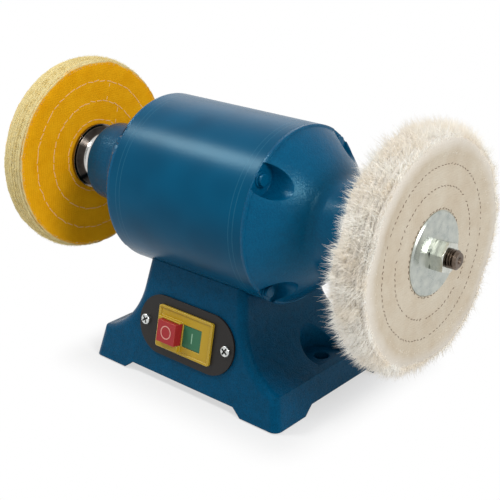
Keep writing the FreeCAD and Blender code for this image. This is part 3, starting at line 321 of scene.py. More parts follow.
def plastic(name, colour, roughness, grain=0.01, subsurface=0.0, rim=None, gloss=0.5):
    """Injection-moulded plastic, nearly smooth or with a spark texture that is grain mm deep. In
    a clear colour the rounded edges are painted in the paler colour rim, a painted highlight."""
    material, tree = new_material(name)
    where = add(tree, "ShaderNodeTexCoord")
    spots = add(tree, "ShaderNodeTexNoise", {"Vector": (where, "Object"), "Scale": 1 / (0.6 * MM),
                                             "Detail": 3.0})
    edge = add(tree, "ShaderNodeBevel", {"Radius": 0.5 * MM}, samples=6)
    bump = add(tree, "ShaderNodeBump", {"Height": (spots, 0), "Distance": grain * MM,
                                        "Strength": 1.0, "Normal": (edge, 0)})
    links = {"Base Color": rgb(colour), "Roughness": roughness, "IOR": 1.49, "Normal": (bump, 0),
             "Subsurface Weight": subsurface, "Subsurface Radius": (MM, MM, MM),
             "Specular IOR Level": gloss}
    if rim:
        # Painted highlight: where the rounded edge turns away from the flat face, the colour goes to rim.
        flat = add(tree, "ShaderNodeNewGeometry")
        same = add(tree, "ShaderNodeVectorMath", {0: (edge, 0), 1: (flat, "True Normal")},
                   operation="DOT_PRODUCT")
        shade = add(tree, "ShaderNodeValToRGB", {"Fac": (same, "Value")},
                    [(0.80, rgb(rim)), (0.985, rgb(colour))])
        links["Base Color"] = (shade, 0)
    surface = add(tree, "ShaderNodeBsdfPrincipled", links)
    add(tree, "ShaderNodeOutputMaterial", {"Surface": (surface, 0)})
    return material


def cotton(name, face, deep, rim, reach, soft):
    """Woven cotton: weave, fuzz and creases dull all gloss. The face's colour ends at a wandering
    line, reach mm from the shaft line, and pales to the colour of the worn rim over soft mm."""
    thread_spacing = 1.7765 * MM  # four times the real spacing, so that the weave shows
    wander = 3.0                  # mm between the nearest and the farthest place of the line
    material, tree = new_material(name)
    where = add(tree, "ShaderNodeTexCoord")
    cloud = add(tree, "ShaderNodeTexNoise", {"Vector": (where, "Object"), "Scale": 1 / (14 * MM),
                                             "Detail": 5.0, "Roughness": 0.6})
    fuzz = add(tree, "ShaderNodeTexNoise", {"Vector": (where, "Object"), "Scale": 1 / (0.9 * MM),
                                            "Detail": 4.0, "Roughness": 0.7})
    creases = add(tree, "ShaderNodeTexNoise", {"Vector": (where, "Object"), "Scale": 1 / (9 * MM),
                                               "Detail": 2.0})
    warp, weft = (add(tree, "ShaderNodeTexWave", {
        "Vector": (where, "Object"), "Scale": 1 / (WAVE_BANDS * thread_spacing), "Distortion": 1.5,
        "Detail": 1.0}, bands_direction=direction) for direction in "YZ")
    weave = add(tree, "ShaderNodeMath", {0: (warp, "Fac"), 1: (weft, "Fac")}, operation="ADD")
    height = add(tree, "ShaderNodeMath", {0: (fuzz, "Fac"), 1: 3.0, 2: (weave, 0)},
                 operation="MULTIPLY_ADD")
    folded = add(tree, "ShaderNodeMath", {0: (creases, "Fac"), 1: 9.0, 2: (height, 0)},
                 operation="MULTIPLY_ADD")
    bump = add(tree, "ShaderNodeBump", {"Height": (folded, 0), "Distance": 0.08 * MM, "Strength": 0.8})
    body = add(tree, "ShaderNodeValToRGB", {"Fac": (cloud, 0)}, [(0.3, rgb(deep)), (0.7, rgb(face))])
    radius = shaft_distance(tree, where)
    strayed = add(tree, "ShaderNodeMath", {0: (cloud, "Fac"), 1: wander * MM, 2: (radius, "Value")},
                  operation="MULTIPLY_ADD")
    line = reach + wander / 2
    rim_wear_and_ring_highlight = add(tree, "ShaderNodeMapRange", {"Value": (strayed, 0), "From Min": line * MM,
                                            "From Max": (line + soft) * MM})
    shade = add(tree, "ShaderNodeMix", {"Factor": (rim_wear_and_ring_highlight, 0), 6: (body, 0), 7: rgb(rim)},
                data_type="RGBA")
    surface = add(tree, "ShaderNodeBsdfPrincipled", {
        "Base Color": (shade, 2), "Roughness": 0.95, "Normal": (bump, 0), "Specular IOR Level": 0.05})
    add(tree, "ShaderNodeOutputMaterial", {"Surface": (surface, 0)})
    return material


def fibre(name, pale, warm, dark, spacing):
    """Loose cotton fibre combed out of the rim, soft and nearly without gloss. Darker lines, a painted
    shade in the gaps between the layers, run round the rim, spacing mm apart."""
    half = spacing / 2 * MM
    material, tree = new_material(name)
    where = add(tree, "ShaderNodeTexCoord")
    patches = add(tree, "ShaderNodeTexNoise", {"Vector": (where, "Object"), "Scale": 1 / (22 * MM),
                                               "Detail": 4.0})
    tufted = add(tree, "ShaderNodeValToRGB", {"Fac": (patches, 0)},
                 [(0.42, rgb(warm)), (0.6, rgb(pale))])
    apart = add(tree, "ShaderNodeSeparateXYZ", {"Vector": (where, "Object")})
    blur = add(tree, "ShaderNodeTexNoise", {"Vector": (where, "Object"), "Scale": 1 / (6 * MM),
                                            "Detail": 3.0})
    strayed = add(tree, "ShaderNodeMath", {0: (blur, "Fac"), 1: 3.5 * MM, 2: (apart, "X")},
                  operation="MULTIPLY_ADD")
    layers = add(tree, "ShaderNodeMath", {0: (strayed, 0), 1: half}, operation="PINGPONG")
    # Painted shade: the colour darkens towards dark at each gap between layers.
    painted_gap_shade = add(tree, "ShaderNodeMapRange", {"Value": (layers, 0), "From Min": 0.0,
                                           "From Max": 0.3 * half, "To Min": 0.55, "To Max": 0.0})
    shade = add(tree, "ShaderNodeMix", {"Factor": (painted_gap_shade, 0), 6: (tufted, 0), 7: rgb(dark)},
                data_type="RGBA")
    skin = add(tree, "ShaderNodeBsdfPrincipled", {
        "Base Color": (shade, 2), "Roughness": 0.9, "Specular IOR Level": 0.05, "Sheen Weight": 0.1})
    through = add(tree, "ShaderNodeBsdfTranslucent", {"Color": (shade, 2)})
    surface = add(tree, "ShaderNodeMixShader", {"Fac": 0.52, 1: (skin, 0), 2: (through, 0)})
    add(tree, "ShaderNodeOutputMaterial", {"Surface": (surface, 0)})
    return material


def plain(name, colour, roughness):
    """Thread, felt, rubber, and the nearly black painted shade in the screw recesses: dull, because a fine
    grain scatters the light.
    """
    material, tree = new_material(name)
    where = add(tree, "ShaderNodeTexCoord")
    grain = add(tree, "ShaderNodeTexNoise", {"Vector": (where, "Object"), "Scale": 1 / (0.5 * MM),
                                             "Detail": 3.0})
    bump = add(tree, "ShaderNodeBump", {"Height": (grain, 0), "Distance": 0.05 * MM, "Strength": 0.7})
    surface = add(tree, "ShaderNodeBsdfPrincipled", {
        "Base Color": rgb(colour), "Roughness": roughness, "Normal": (bump, 0)})
    add(tree, "ShaderNodeOutputMaterial", {"Surface": (surface, 0)})
    return material


def make_paints():
    return {
        # Thick enamel over coarse sand-cast iron: a wrinkled satin skin, dark, with specks of gloss.
        "pedestal": cast_paint("wrinkled_enamel_on_cast_iron", "#00496D", "#003D5B", grain=0.9,
                               depth=0.24, roughness=0.32, mottle=0.10, gloss=0.10),
        # The same enamel on finer castings: shinier, so the domes and pockets catch bright spots. Its blue
        # is set lighter than the pedestal's, a painted light on the bells.
        "bell": cast_paint("enamel_on_cast_iron_bells", "#00547A", "#004B70", grain=1.1, depth=0.2,
                           roughness=0.2, mottle=0.07, gloss=0.21),
        "shell": shell_paint(),
    }


def make_metals():
    # Painted reflections: bright and dark rings in turns, from the flange's hub to its edge.
    flange_painted_reflections = [(15.5, "#2C2926"), (16.6, "#E4E4E2"), (17.8, "#D0CDC8"), (18.3, "#332C27"),
                    (21.8, "#211D1A"), (22.6, "#4A423B"), (24.0, "#8A8078")]
    return {
        # Bright zinc plate: pale and a little blue, with soft reflections.
        "zinc": metal("zinc_plated_steel", "#D4DADB", 0.22, stain="#B4BEC0"),
        # Plated steel that the nut turns against: duller, with faint rings.
        "washer": metal("zinc_plated_pressed_steel", "#C3C6BE", 0.3, stain="#A5ABA6", marks=0.002),
        # Plated and handled often: warm grey with a clear gloss on the flats.
        "nut": metal("zinc_plated_nut_steel", "#D8DAD2", 0.2, stain="#BCBEB6"),
        # Polished heads: the brightest points of the front.
        "screw": metal("bright_screw_steel", "#DADDDB", 0.25, stain="#B9BCBA"),
        # Turned on a lathe: rings that stretch the highlight into a fan, and painted reflections in bright
        # and dark bands.
        "flange": metal("turned_steel", "#6A6864", 0.16, stain="#2E2B28", marks=0.006,
                        bands=flange_painted_reflections),
        # A cut thread holds oil and dust: a brownish, clouded metal.
        "thread": metal("oiled_steel_thread", "#7E7064", 0.28, stain="#40362F"),
        # Ground rings and balls: an even, bright grey.
        "steel": metal("ground_bearing_steel", "#B9BCBE", 0.2),
        # Cold-rolled sheet, unpainted: a flat mid grey.
        "sheet": metal("bare_steel_sheet", "#9A9D9E", 0.35),
        # Stacked laminations under varnish: dark and satin.
        "core": metal("varnished_core_steel", "#55575A", 0.5),
        # Cast in place: pale and matt.
        "aluminium": metal("cast_aluminium", "#C6C8C9", 0.45),
        # Stamped terminals: warm yellow with a soft gloss.
        "brass": metal("brass", "#C9A862", 0.3),
        # Wire under its enamel: deep red-brown.
        "copper": metal("enamelled_copper_wire", "#A5552A", 0.35),
    }


def make_plastics():
    return {
        # Spark-textured moulding: near black, and its small grain spreads the gloss.
        "plate": plastic("black_switch_plate", "#1B1816", 0.45, grain=0.07, gloss=0.3),
        # Smooth black housing behind the plate.
        "case": plastic("black_switch_case", "#1E1D1C", 0.5),
        # Clear colours with a soft gloss: their rounded edges are painted paler, a painted highlight.
        "bezel": plastic("yellow_polycarbonate", "#B8961F", 0.35, subsurface=0.1, rim="#E6D27C",
                         gloss=0.3),
        "stop": plastic("red_polycarbonate", "#A02428", 0.35, subsurface=0.1, rim="#D9685C",
                        gloss=0.3),
        "start": plastic("green_polycarbonate", "#2F6B4C", 0.35, subsurface=0.1, rim="#6E9C7C",
                         gloss=0.3),
        # Signs printed on the buttons and rubbed by fingers: pale, tinted by the colour below.
        "sign": plastic("pale_printed_sign", "#DE9C90", 0.5),
        "start_sign": plastic("pale_green_printed_sign", "#8FBC9E", 0.5),
        # Plain mouldings inside the base: pale grey and cream, half matt.
        "can": plastic("pale_grey_capacitor_can", "#CFCFCB", 0.4),
        "block": plastic("cream_terminal_block", "#DCD8C8", 0.5),
    }


def make_soft_materials():
    return {
        # Sheets stiffened with a yellow dressing: a strong even colour up to a thin pale rim.
        "yellow_cotton": cotton("treated_yellow_cotton", "#F6B216", "#EAA20A", "#E2D199", 69.8, 1.2),
        # Untreated sheets: cream with soiled clouds, paler where they fluff out.
        "white_cotton": cotton("soft_white_cotton", "#D0C6B4", "#C5B7A2", "#DCD5CA", 62.0, 8.0),
        # Combed-out fibre lets light through, so both rims glow a little in their shadows.
        "yellow_fibre": fibre("pale_yellow_cotton_fibre", "#F0E4B8", "#E6D79C", "#D6C48C", 2.4),
        "white_fibre": fibre("white_cotton_fibre", "#FCFBF7", "#F8F3EA", "#EEE8DD", 3.0),
        # Twisted thread, without any gloss: pale on the yellow buff, brown on the white one.
        "pink_thread": plain("pale_stitching_thread", "#F4C588", 0.8),
        "brown_thread": plain("brown_stitching_thread", "#6A5544", 0.8),
        # Painted shade on the floors of the cross recesses: nearly black.
        "screw_recess_painted_shade": plain("painted_shade_in_the_screw_recess", "#24211E", 0.8),
        # Pressed wool: grey and wholly matt.
        "felt": plain("grey_felt", "#4A4A47", 1.0),
        # Moulded rubber: black with a dusty bloom.
        "rubber": plain("black_rubber", "#1B1B1B", 0.7),
    }


# Which material each node of the frame wears.
NODE_MATERIALS = {
    "pedestal": "pedestal", "rubber_feet": "rubber", "cover_plate": "sheet",
    "cover_plate_screws": "zinc", "motor_shell": "shell", "end_bell_left": "bell",
    "end_bell_right": "bell", "tie_bolts": "bell", "tie_bolt_washers": "bell",
    "tie_bolt_nuts": "bell", "saddle_bolts": "zinc", "saddle_nuts": "zinc", "stator_core": "core",
    "stator_windings": "copper", "rotor_core": "core", "rotor_cage": "aluminium",
    "rotor_shaft": "thread", "bearing_outer_rings": "steel", "bearing_inner_rings": "steel",
    "bearing_shields": "sheet", "bearing_ball_sets": "steel", "wave_washer": "sheet",
    "dust_seals": "felt", "inner_flange_left": "flange", "inner_flange_right": "flange",
    "outer_flange_left": "washer", "outer_flange_right": "washer", "nut_left": "nut",
    "nut_right": "nut", "switch_plate": "plate", "switch_plate_screws": "zinc",
    "switch_bezel": "bezel", "switch_body": "case", "switch_terminals": "brass",
    "stop_button": "stop", "start_button": "start", "run_capacitor": "can",
    "capacitor_clamp": "sheet", "capacitor_clamp_screws": "zinc", "terminal_block": "block",
    "terminal_screws": "brass", "cord_grommet": "rubber", "lead_grommet": "rubber",
    "buff_yellow": "yellow_cotton", "buff_white": "white_cotton",
}


def dress_nodes(materials):
    for node, name in NODE_MATERIALS.items():
        data = frame["nodes"][node].data
        data.materials.clear()
        data.materials.append(materials[name])


# ---------------------------------------------------------------- buffs

# What differs between the two buffs. Lengths are in mm and radii are from the shaft line. The
# yellow one is stiff and cut true. The white one is limp, and its rim is combed out to fluff.
YELLOW_BUFF = {
    "side": -1,
    "seed": 11,
    "slot": "yellow_cotton",
    "cloth": "yellow_cotton",
    "thread": "pink_thread",
    "loose": "yellow_fibre",
    # The face, as (radius, half the thickness): it dips at a row of stitches and swells between.
    "face": ((27.5, 10.0), (34.5, 10.4), (41.7, 10.0), (49.0, 10.5), (56.6, 10.0), (62.0, 10.6),
             (66.0, 10.7), (68.6, 10.4)),
    # The rim: the radius it rises from, the rise in its middle, its layers and the gaps' depth.
    "shoulder": 66.8,
    "crown": 6.2,
    "plies": 9,
    "valley": (0.6, 1.2),
    "wave": 0.12,
    # The stitches: circles, distance, length, thickness, stray angle and the share that is hidden.
    "rings": (27.5, 41.7, 56.6),
    "pitch": 6.0,
    "dash": 5.0,
    "thick": 1.15,
    "slant": 0.13,
    "skip": 0.0,
    # Where the thread goes on from one circle to the next, as (radius, angle) of both ends.
    "runs": (((56.6, 1.257), (41.7, 1.257)), ((41.7, 0.95), (28.5, 0.78))),
    # The loose fibre: how many, in how many tufts, its length, half its width and its lean along
    # the shaft, in all and towards the faces. The share called fuzz grows on the faces' edges.
    "fibres": 48000,
    "tufts": 5000,
    "tuft_width": 0.9,
    "length": (0.8, 2.8),
    "strand": (0.07, 0.13),
    "comb": 0.0,
    "splay": -0.25,
    "fuzz": 0.0,
}
WHITE_BUFF = {
    "side": 1,
    "seed": 23,
    "slot": "white_cotton",
    "cloth": "white_cotton",
    "thread": "brown_thread",
    "loose": "white_fibre",
    "face": ((27.5, 10.0), (34.5, 10.6), (41.3, 10.0), (48.0, 10.8), (54.4, 10.0), (60.0, 11.3),
             (65.0, 12.2), (68.5, 12.0), (70.8, 11.2)),
    "shoulder": 69.0,
    "crown": 5.2,
    "plies": 8,
    "valley": (1.4, 2.4),
    "wave": 0.8,
    "rings": (27.5, 41.3, 54.4),
    "pitch": 3.6,
    "dash": 1.8,
    "thick": 0.85,
    "slant": 0.35,
    "skip": 0.05,
    "runs": (),
    "fibres": 64000,
    "tufts": 2600,
    "tuft_width": 1.5,
    "length": (1.5, 9.5),
    "strand": (0.09, 0.17),
    "comb": -0.25,
    "splay": 0.5,
    "fuzz": 0.24,
}


def rim_radius(settings, across):
    """The radius of the rim at a place across it, -1 at one face and 1 at the other. It is the top
    of an ellipse a little wider than the stack."""
    ellipse = 1.12
    rise = math.sqrt(max(0.0, 1 - (across / ellipse) ** 2))
    return settings["shoulder"] + settings["crown"] * rise


def wave(settings, angle, radius):
    """How far the loose outer part of the stack strays sideways at a place round the shaft."""
    held_to = 50                  # mm, just inside the outermost stitches
    loose_over = 22               # mm, from there to the rim
    loose = max(0.0, (radius / MM - held_to) / loose_over) ** 2
    swing = math.sin(5 * angle + 0.7) + 0.6 * math.sin(9 * angle + 2.1) + 0.4 * math.sin(14 * angle)
    return settings["wave"] * loose * swing * MM


def buff_profile(settings):
    """The outline of a stitched stack: quilted faces that open into a rim of separate layers."""
    rng = random.Random(settings["seed"])
    uneven = 0.4                  # mm that a layer's radius strays
    crest_width = 0.55            # of a layer
    valley_place = 0.98           # of half a layer, from its middle
    face = [(half * MM, radius * MM) for radius, half in settings["face"]]
    spread = face[-1][0]
    plies = settings["plies"]
    half_ply = spread / plies
    points = [(-BUFF_FACE, BUFF_BORE)]
    points += [(-half, radius) for half, radius in face]
    for ply in range(plies):
        middle = -spread + (ply + 0.5) * 2 * spread / plies
        top = (rim_radius(settings, middle / spread) + rng.uniform(-uneven, uneven)) * MM
        valley = top - rng.uniform(*settings["valley"]) * MM
        if ply:
            points.append((middle - half_ply * valley_place, valley))
        points.append((middle - half_ply * crest_width, top))
        points.append((middle + half_ply * crest_width, top))
    points += [(half, radius) for half, radius in reversed(face)]
    points += [(BUFF_FACE, BUFF_BORE), (-BUFF_FACE, BUFF_BORE)]
    return [(settings["side"] * BUFF_MIDDLE + x, radius) for x, radius in points]


def make_cloth(name, settings, material, rng):
    """The stack of sheets. Wear leaves its outer part out of round and pushed to the sides."""
    worn_from = 60 * MM
    out_of_round = 0.3            # mm
    sideways = 0.15               # mm
    bm = bmesh.new()
    turned(bm, buff_profile(settings), steps=192)
    for vert in bm.verts:
        offset = vert.co - SHAFT
        radius = math.hypot(offset.y, offset.z)
        angle = math.atan2(offset.z, offset.y)
        if radius > worn_from:
            swell = settings["wave"] * math.sin(7 * angle + offset.x / MM)
            push = (rng.uniform(-out_of_round, out_of_round) + swell) * MM
            scale = 1 + push / radius
            vert.co.y = SHAFT.y + offset.y * scale
            vert.co.z = SHAFT.z + offset.z * scale
            vert.co.x += rng.uniform(-sideways, sideways) * MM
        vert.co.x += wave(settings, angle, radius)
    outwards(bm)
    cloth = new_object(f"{name}_cloth", bm, "rotor", material)
    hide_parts(name)


def stitch_point(settings, face, radius, angle):
    """A place on a face of a buff, by its distance from the shaft line and its angle."""
    proud = 0.1 * MM
    at = SHAFT + Vector((0, math.cos(angle), math.sin(angle))) * radius * MM
    at.x = settings["side"] * BUFF_MIDDLE + face * (BUFF_FACE + proud)
    return at


def stitch(bm, at, run, length, settings, face):
    """One dash of thread, sunk into the cloth so that only its back shows."""
    shown_width = 0.45 * settings["thick"]
    shown_height = 0.27 * settings["thick"]
    up = Vector((face, 0, 0))
    turn = Matrix((run, up.cross(run), up)).transposed().to_4x4()
    scale = Matrix.Diagonal((length * MM, shown_width * MM, shown_height * MM, 1))
    bmesh.ops.create_cube(bm, size=1.0, matrix=Matrix.Translation(at) @ turn @ scale)


def stitch_ring(bm, face, radius, settings, rng):
    """Thread that shows in dashes along a circle on one face of a buff."""
    count = round(radius * math.tau / settings["pitch"])
    for index in range(count):
        if rng.random() < settings["skip"]:
            continue
        angle = math.tau * (index + rng.uniform(-0.1, 0.1)) / count
        at = stitch_point(settings, face, radius + rng.uniform(-0.25, 0.25), angle)
        slant = rng.gauss(0, settings["slant"])
        run = Vector((0, -math.sin(angle + slant), math.cos(angle + slant)))
        stitch(bm, at, run, settings["dash"] * rng.uniform(0.85, 1.1), settings, face)


def stitch_run(bm, face, start, end, settings, rng):
    """A short run of dashes that takes the thread from one circle to the next."""
    first, last = (stitch_point(settings, face, radius, angle) for radius, angle in (start, end))
    count = max(2, round((last - first).length / (settings["pitch"] * MM)))
    run = (last - first).normalized()
    for index in range(count):
        at = first.lerp(last, (index + 0.5) / count)
        stitch(bm, at, run, settings["dash"] * rng.uniform(0.85, 1.05), settings, face)


def make_stitches(name, settings, material, rng):
    bm = bmesh.new()
    for face in (-1, 1):
        for radius in settings["rings"]:
            stitch_ring(bm, face, radius, settings, rng)
        for start, end in settings["runs"]:
            stitch_run(bm, face, start, end, settings, rng)
    stitches = new_object(f"{name}_cloth_stitches", bm, "rotor", material, smooth=False)


def comb_tufts(settings, rng):
    """Tufts as (place across the rim, angle, lean along the shaft, lean around it, length)."""
    tufts = []
    for _ in range(settings["tufts"]):
        across = rng.uniform(-1, 1)
        angle = rng.uniform(0, math.tau)
        lean_along = across * settings["splay"] + rng.gauss(settings["comb"], 0.22)
        tufts.append((across, angle, lean_along, rng.gauss(0, 0.32), rng.uniform(0.8, 1.2)))
    return tufts


def ribbon(bm, root, middle, tip, flat):
    """One fibre: it bends in the middle and ends in a point. From its middle line to its edge it
    measures flat, a vector."""
    wide = [bm.verts.new(root - flat), bm.verts.new(root + flat)]
    narrow = [bm.verts.new(middle + flat * 0.8), bm.verts.new(middle - flat * 0.8)]
    bm.faces.new(wide + narrow)
    bm.faces.new((narrow[1], narrow[0], bm.verts.new(tip)))


def add_fibres(bm, settings, rng):
    """Fibres that stand out of the rim in combed tufts, with a short fuzz on the edges of both
    faces."""
    sink = 0.8                    # mm that a root sits below the rim
    shortest, longest = settings["length"]
    spread = settings["face"][-1][1]
    (fuzz_from, near), (fuzz_to, far) = settings["face"][-4], settings["face"][-1]
    tufts = comb_tufts(settings, rng)
    along = Vector((1, 0, 0))
    for _ in range(settings["fibres"]):
        across, angle, lean_along, lean_around, long = rng.choice(tufts)
        angle += rng.gauss(0, settings["tuft_width"] / BUFF_RADIUS * MM)
        size = (shortest + (longest - shortest) * rng.random() ** 3) * long * MM
        if rng.random() < settings["fuzz"]:
            across = math.copysign(1.0, across)
            place = 1 - rng.random() ** 2
            root_radius = (fuzz_from + (fuzz_to - fuzz_from) * place) * MM
            root_x = across * (near + (far - near) * place) * MM
            lean_along = across * 0.3
            lean_around = rng.gauss(0, 0.6)
            size = rng.uniform(0.8, 1.5 + 4.0 * place) * MM
        else:
            across = max(-1.0, min(1.0, across + rng.gauss(0, settings["tuft_width"] / spread)))
            root_radius = (rim_radius(settings, across) - sink) * MM
            root_x = across * spread * MM
        out = Vector((0, math.cos(angle), math.sin(angle)))
        around = out.cross(along)
        root_x += settings["side"] * BUFF_MIDDLE + wave(settings, angle, root_radius)
        root = SHAFT + Vector((root_x, 0, 0)) + out * root_radius
        way = (out * rng.uniform(0.7, 1.1) + along * (lean_along + rng.gauss(0, 0.16))
               + around * (lean_around + rng.gauss(0, 0.2))).normalized()
        droop = along * rng.gauss(settings["comb"], 0.3) + around * rng.gauss(0, 0.3)
        width = rng.uniform(*settings["strand"]) * MM
        flat = way.cross(out + around * rng.gauss(0, 1)).normalized() * width
        tip = root + way * size + droop * size * 0.4
        ribbon(bm, root, root + way * size * 0.5, tip, flat)


def make_fluff(name, settings, material):
    bm = bmesh.new()
    add_fibres(bm, settings, random.Random(settings["seed"] + 5))
    fluff = new_object(f"{name}_cloth_fluff", bm, "rotor", material)


def make_buff(name, settings, materials):
    """A buff of stitched cotton sheets: the stack, its stitches and its loose fibre."""
    rng = random.Random(settings["seed"])
    make_cloth(name, settings, materials[settings["cloth"]], rng)
    make_stitches(name, settings, materials[settings["thread"]], rng)
    make_fluff(name, settings, materials[settings["loose"]])


# ---------------------------------------------------------------- shaft with its threads

def threaded_end(side):
    """A free end of the shaft: an M12 thread of 1.75 mm pitch, a chamfer and a centre hole. The
    left end (-1) mirrors the right one (1), so its thread is left-hand."""
    pitch = 1.75 * MM
    crest = 5.95 * MM
    root = 4.85 * MM
    chamfer = 1 * MM
    chamfer_radius = 4.6 * MM
    centre_radius = 2.2 * MM
    centre_depth = 3 * MM
    centre_floor = 0.4 * MM
    start = SHAFT_TIP - 9 * MM    # inside the nut
    end = SHAFT_TIP - chamfer
    turns = math.ceil((end - start) / pitch) + 2
    steps = 48
    bm = bmesh.new()
    # One turn of the thread, as (share of the pitch, radius).
    outline = [(0.0, crest), (0.1, crest), (0.42, root), (0.58, root), (0.9, crest), (1.0, crest)]
    verts = [bm.verts.new((start + (at - 1) * pitch, SHAFT.y, SHAFT.z + radius)) for at, radius in outline]
    edges = [bm.edges.new(pair) for pair in zip(verts, verts[1:])]
    bmesh.ops.spin(bm, geom=verts + edges, cent=SHAFT, axis=(1, 0, 0), dvec=(pitch / steps, 0, 0),
                   angle=math.tau * turns, steps=steps * turns, use_merge=False)
    bmesh.ops.remove_doubles(bm, verts=bm.verts[:], dist=1e-5)
    cut_off(bm, end, 1)
    cut_off(bm, start, -1)
    rim = [edge for edge in bm.edges if all(abs(v.co.x - end) < 1e-6 for v in edge.verts)]
    for x, radius in ((SHAFT_TIP, chamfer_radius), (SHAFT_TIP, centre_radius),
                      (SHAFT_TIP - centre_depth, centre_floor)):
        made = bmesh.ops.extrude_edge_only(bm, edges=rim)["geom"]
        rim = [item for item in made if isinstance(item, bmesh.types.BMEdge)]
        for vert in {v for edge in rim for v in edge.verts}:
            away = Vector((0, vert.co.y - SHAFT.y, vert.co.z - SHAFT.z)).normalized()
            vert.co = Vector((x, SHAFT.y, SHAFT.z)) + away * radius
    close_holes(bm)
    bmesh.ops.scale(bm, vec=(side, 1, 1), verts=bm.verts[:])
    bmesh.ops.remove_doubles(bm, verts=bm.verts[:], dist=1e-6)
    outwards(bm)
    return bm


def make_shaft(material):
    """The turned shaft, cut off inside the nuts, where its threaded ends begin."""
    cut = SHAFT_TIP - 8 * MM
    bm = bmesh.new()
    bm.from_mesh(frame["nodes"]["rotor_shaft"].data)
    bmesh.ops.remove_doubles(bm, verts=bm.verts[:], dist=1e-6)
    for side in (-1, 1):
        cut_off(bm, side * cut, side)
    close_holes(bm)
    outwards(bm)
    for side in (-1, 1):
        join(bm, threaded_end(side))
    shaft = new_object("shaft_with_threads", bm, "rotor", material, smooth=False)
    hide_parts("rotor_shaft")


# ---------------------------------------------------------------- switch signs and screws

def onto_front(bm, place):
    """Moves a shape to its place (right, up, out) on the leaning front."""
    bmesh.ops.transform(bm, matrix=front_matrix() @ Matrix.Translation(place), verts=bm.verts[:])


def make_ring_sign(name, body, material, place, outer, width):
    """A printed ring on top of its button."""
    bm = bmesh.new()
    verts = [bm.verts.new((radius, 0, 0)) for radius in (outer, outer - width)]
    edge = bm.edges.new(verts)
    bmesh.ops.spin(bm, geom=verts + [edge], cent=(0, 0, 0), axis=(0, 0, 1), angle=math.tau, steps=48,
                   use_merge=True)
    bmesh.ops.remove_doubles(bm, verts=bm.verts[:], dist=1e-7)
    made = bmesh.ops.extrude_face_region(bm, geom=bm.faces[:])["geom"]
    bmesh.ops.translate(bm, vec=(0, 0, SIGN_PROUD), verts=new_verts(made))
    onto_front(bm, place)
    outwards(bm)
    return new_object(name, bm, body, material, smooth=False)


def make_bar_sign(name, body, material, place, length, width):
    """A printed upright bar, half sunk into its button."""
    bm = bmesh.new()
    bmesh.ops.create_cube(bm, size=1.0)
    bmesh.ops.scale(bm, vec=(width, length, 2 * SIGN_PROUD), verts=bm.verts[:])
    onto_front(bm, place)
    return new_object(name, bm, body, material, smooth=False)


def flat_faces(bm, height):
    """The faces that lie flat at a height and look up."""
    return [face for face in bm.faces
            if face.normal.z > 0.99 and abs(face.calc_center_median().z - height) < 1e-6]


def pan_head(radius, height, recess):
    """A pan-head screw seen from outside, with a cross recess whose floor takes a second material, a
    painted shade.
    """
    arm = recess * 0.12           # half the width of an arm of the cross
    depth = height * 0.7
    rounding = height * 0.45
    bm = bmesh.new()
    bmesh.ops.create_cone(bm, cap_ends=True, segments=32, radius1=radius, radius2=radius, depth=height)
    bmesh.ops.translate(bm, vec=(0, 0, height / 2), verts=bm.verts[:])
    rim = [edge for edge in bm.edges if all(v.co.z > height * 0.9 for v in edge.verts)]
    bmesh.ops.bevel(bm, geom=rim, offset=rounding, segments=4, affect="EDGES", profile=0.5,
                    material=-1)
    for axis in ((1, 0, 0), (0, 1, 0)):
        for place in (-recess / 2, -arm, arm, recess / 2):
            caps = flat_faces(bm, height)
            parts = {item for face in caps for item in (*face.edges, *face.verts)}
            bmesh.ops.bisect_plane(bm, geom=[*caps, *parts], plane_co=Vector(axis) * place, plane_no=axis)
            bm.normal_update()
    cross = []
    for face in flat_faces(bm, height):
        middle = face.calc_center_median()
        near, far = sorted((abs(middle.x), abs(middle.y)))
        if near < arm and far < recess / 2:
            cross.append(face)
    made = bmesh.ops.extrude_face_region(bm, geom=cross)["geom"]
    bmesh.ops.translate(bm, vec=(0, 0, -depth), verts=new_verts(made))
    bmesh.ops.delete(bm, geom=cross, context="FACES_ONLY")
    # The recess floor takes the second material: painted shade, nearly black.
    for face in flat_faces(bm, height - depth):
        face.material_index = 1
    return bm


def make_screws(name, body, material, recess_shade, matrices, radius, height, recess):
    joined = bmesh.new()
    for matrix in matrices:
        head = pan_head(radius, height, recess)
        bmesh.ops.transform(head, matrix=matrix, verts=head.verts[:])
        join(joined, head)
    outwards(joined)
    piece = new_object(name, joined, body, material, smooth=False)
    # The second material paints shade on the recess floors.
    piece.data.materials.append(recess_shade)
    return piece


def make_switch_details(materials):
    """The signs printed on both buttons and the two screws of the switch plate. Heights are out
    of the front."""
    below_middle = -1.0 * MM
    stop_top = 9.5 * MM
    start_top = 2.4 * MM
    plate_top = 1.6 * MM
    screw_reach = 37.5 * MM
    stop_x = middle_of("stop_button").x
    start_x = middle_of("start_button").x
    ring = make_ring_sign("stop_sign", "stop_push", materials["sign"],
                          (stop_x, below_middle, stop_top), outer=4.8 * MM, width=0.8 * MM)
    bar = make_bar_sign("start_sign", "start_push", materials["start_sign"],
                        (start_x, below_middle, start_top), length=7.2 * MM, width=0.9 * MM)
    matrices = []
    for side, turn in ((-1, 0.6), (1, 1.0)):
        place = Matrix.Translation((side * screw_reach, 0, plate_top))
        matrices.append(front_matrix() @ place @ Matrix.Rotation(turn, 4, "Z"))
    screws = make_screws("switch_plate_screw_heads", "frame", materials["screw"],
                         materials["screw_recess_painted_shade"], matrices, radius=3.8 * MM, height=2.2 * MM,
                         recess=5.6 * MM)
    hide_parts("switch_plate_screws")


# ---------------------------------------------------------------- stage

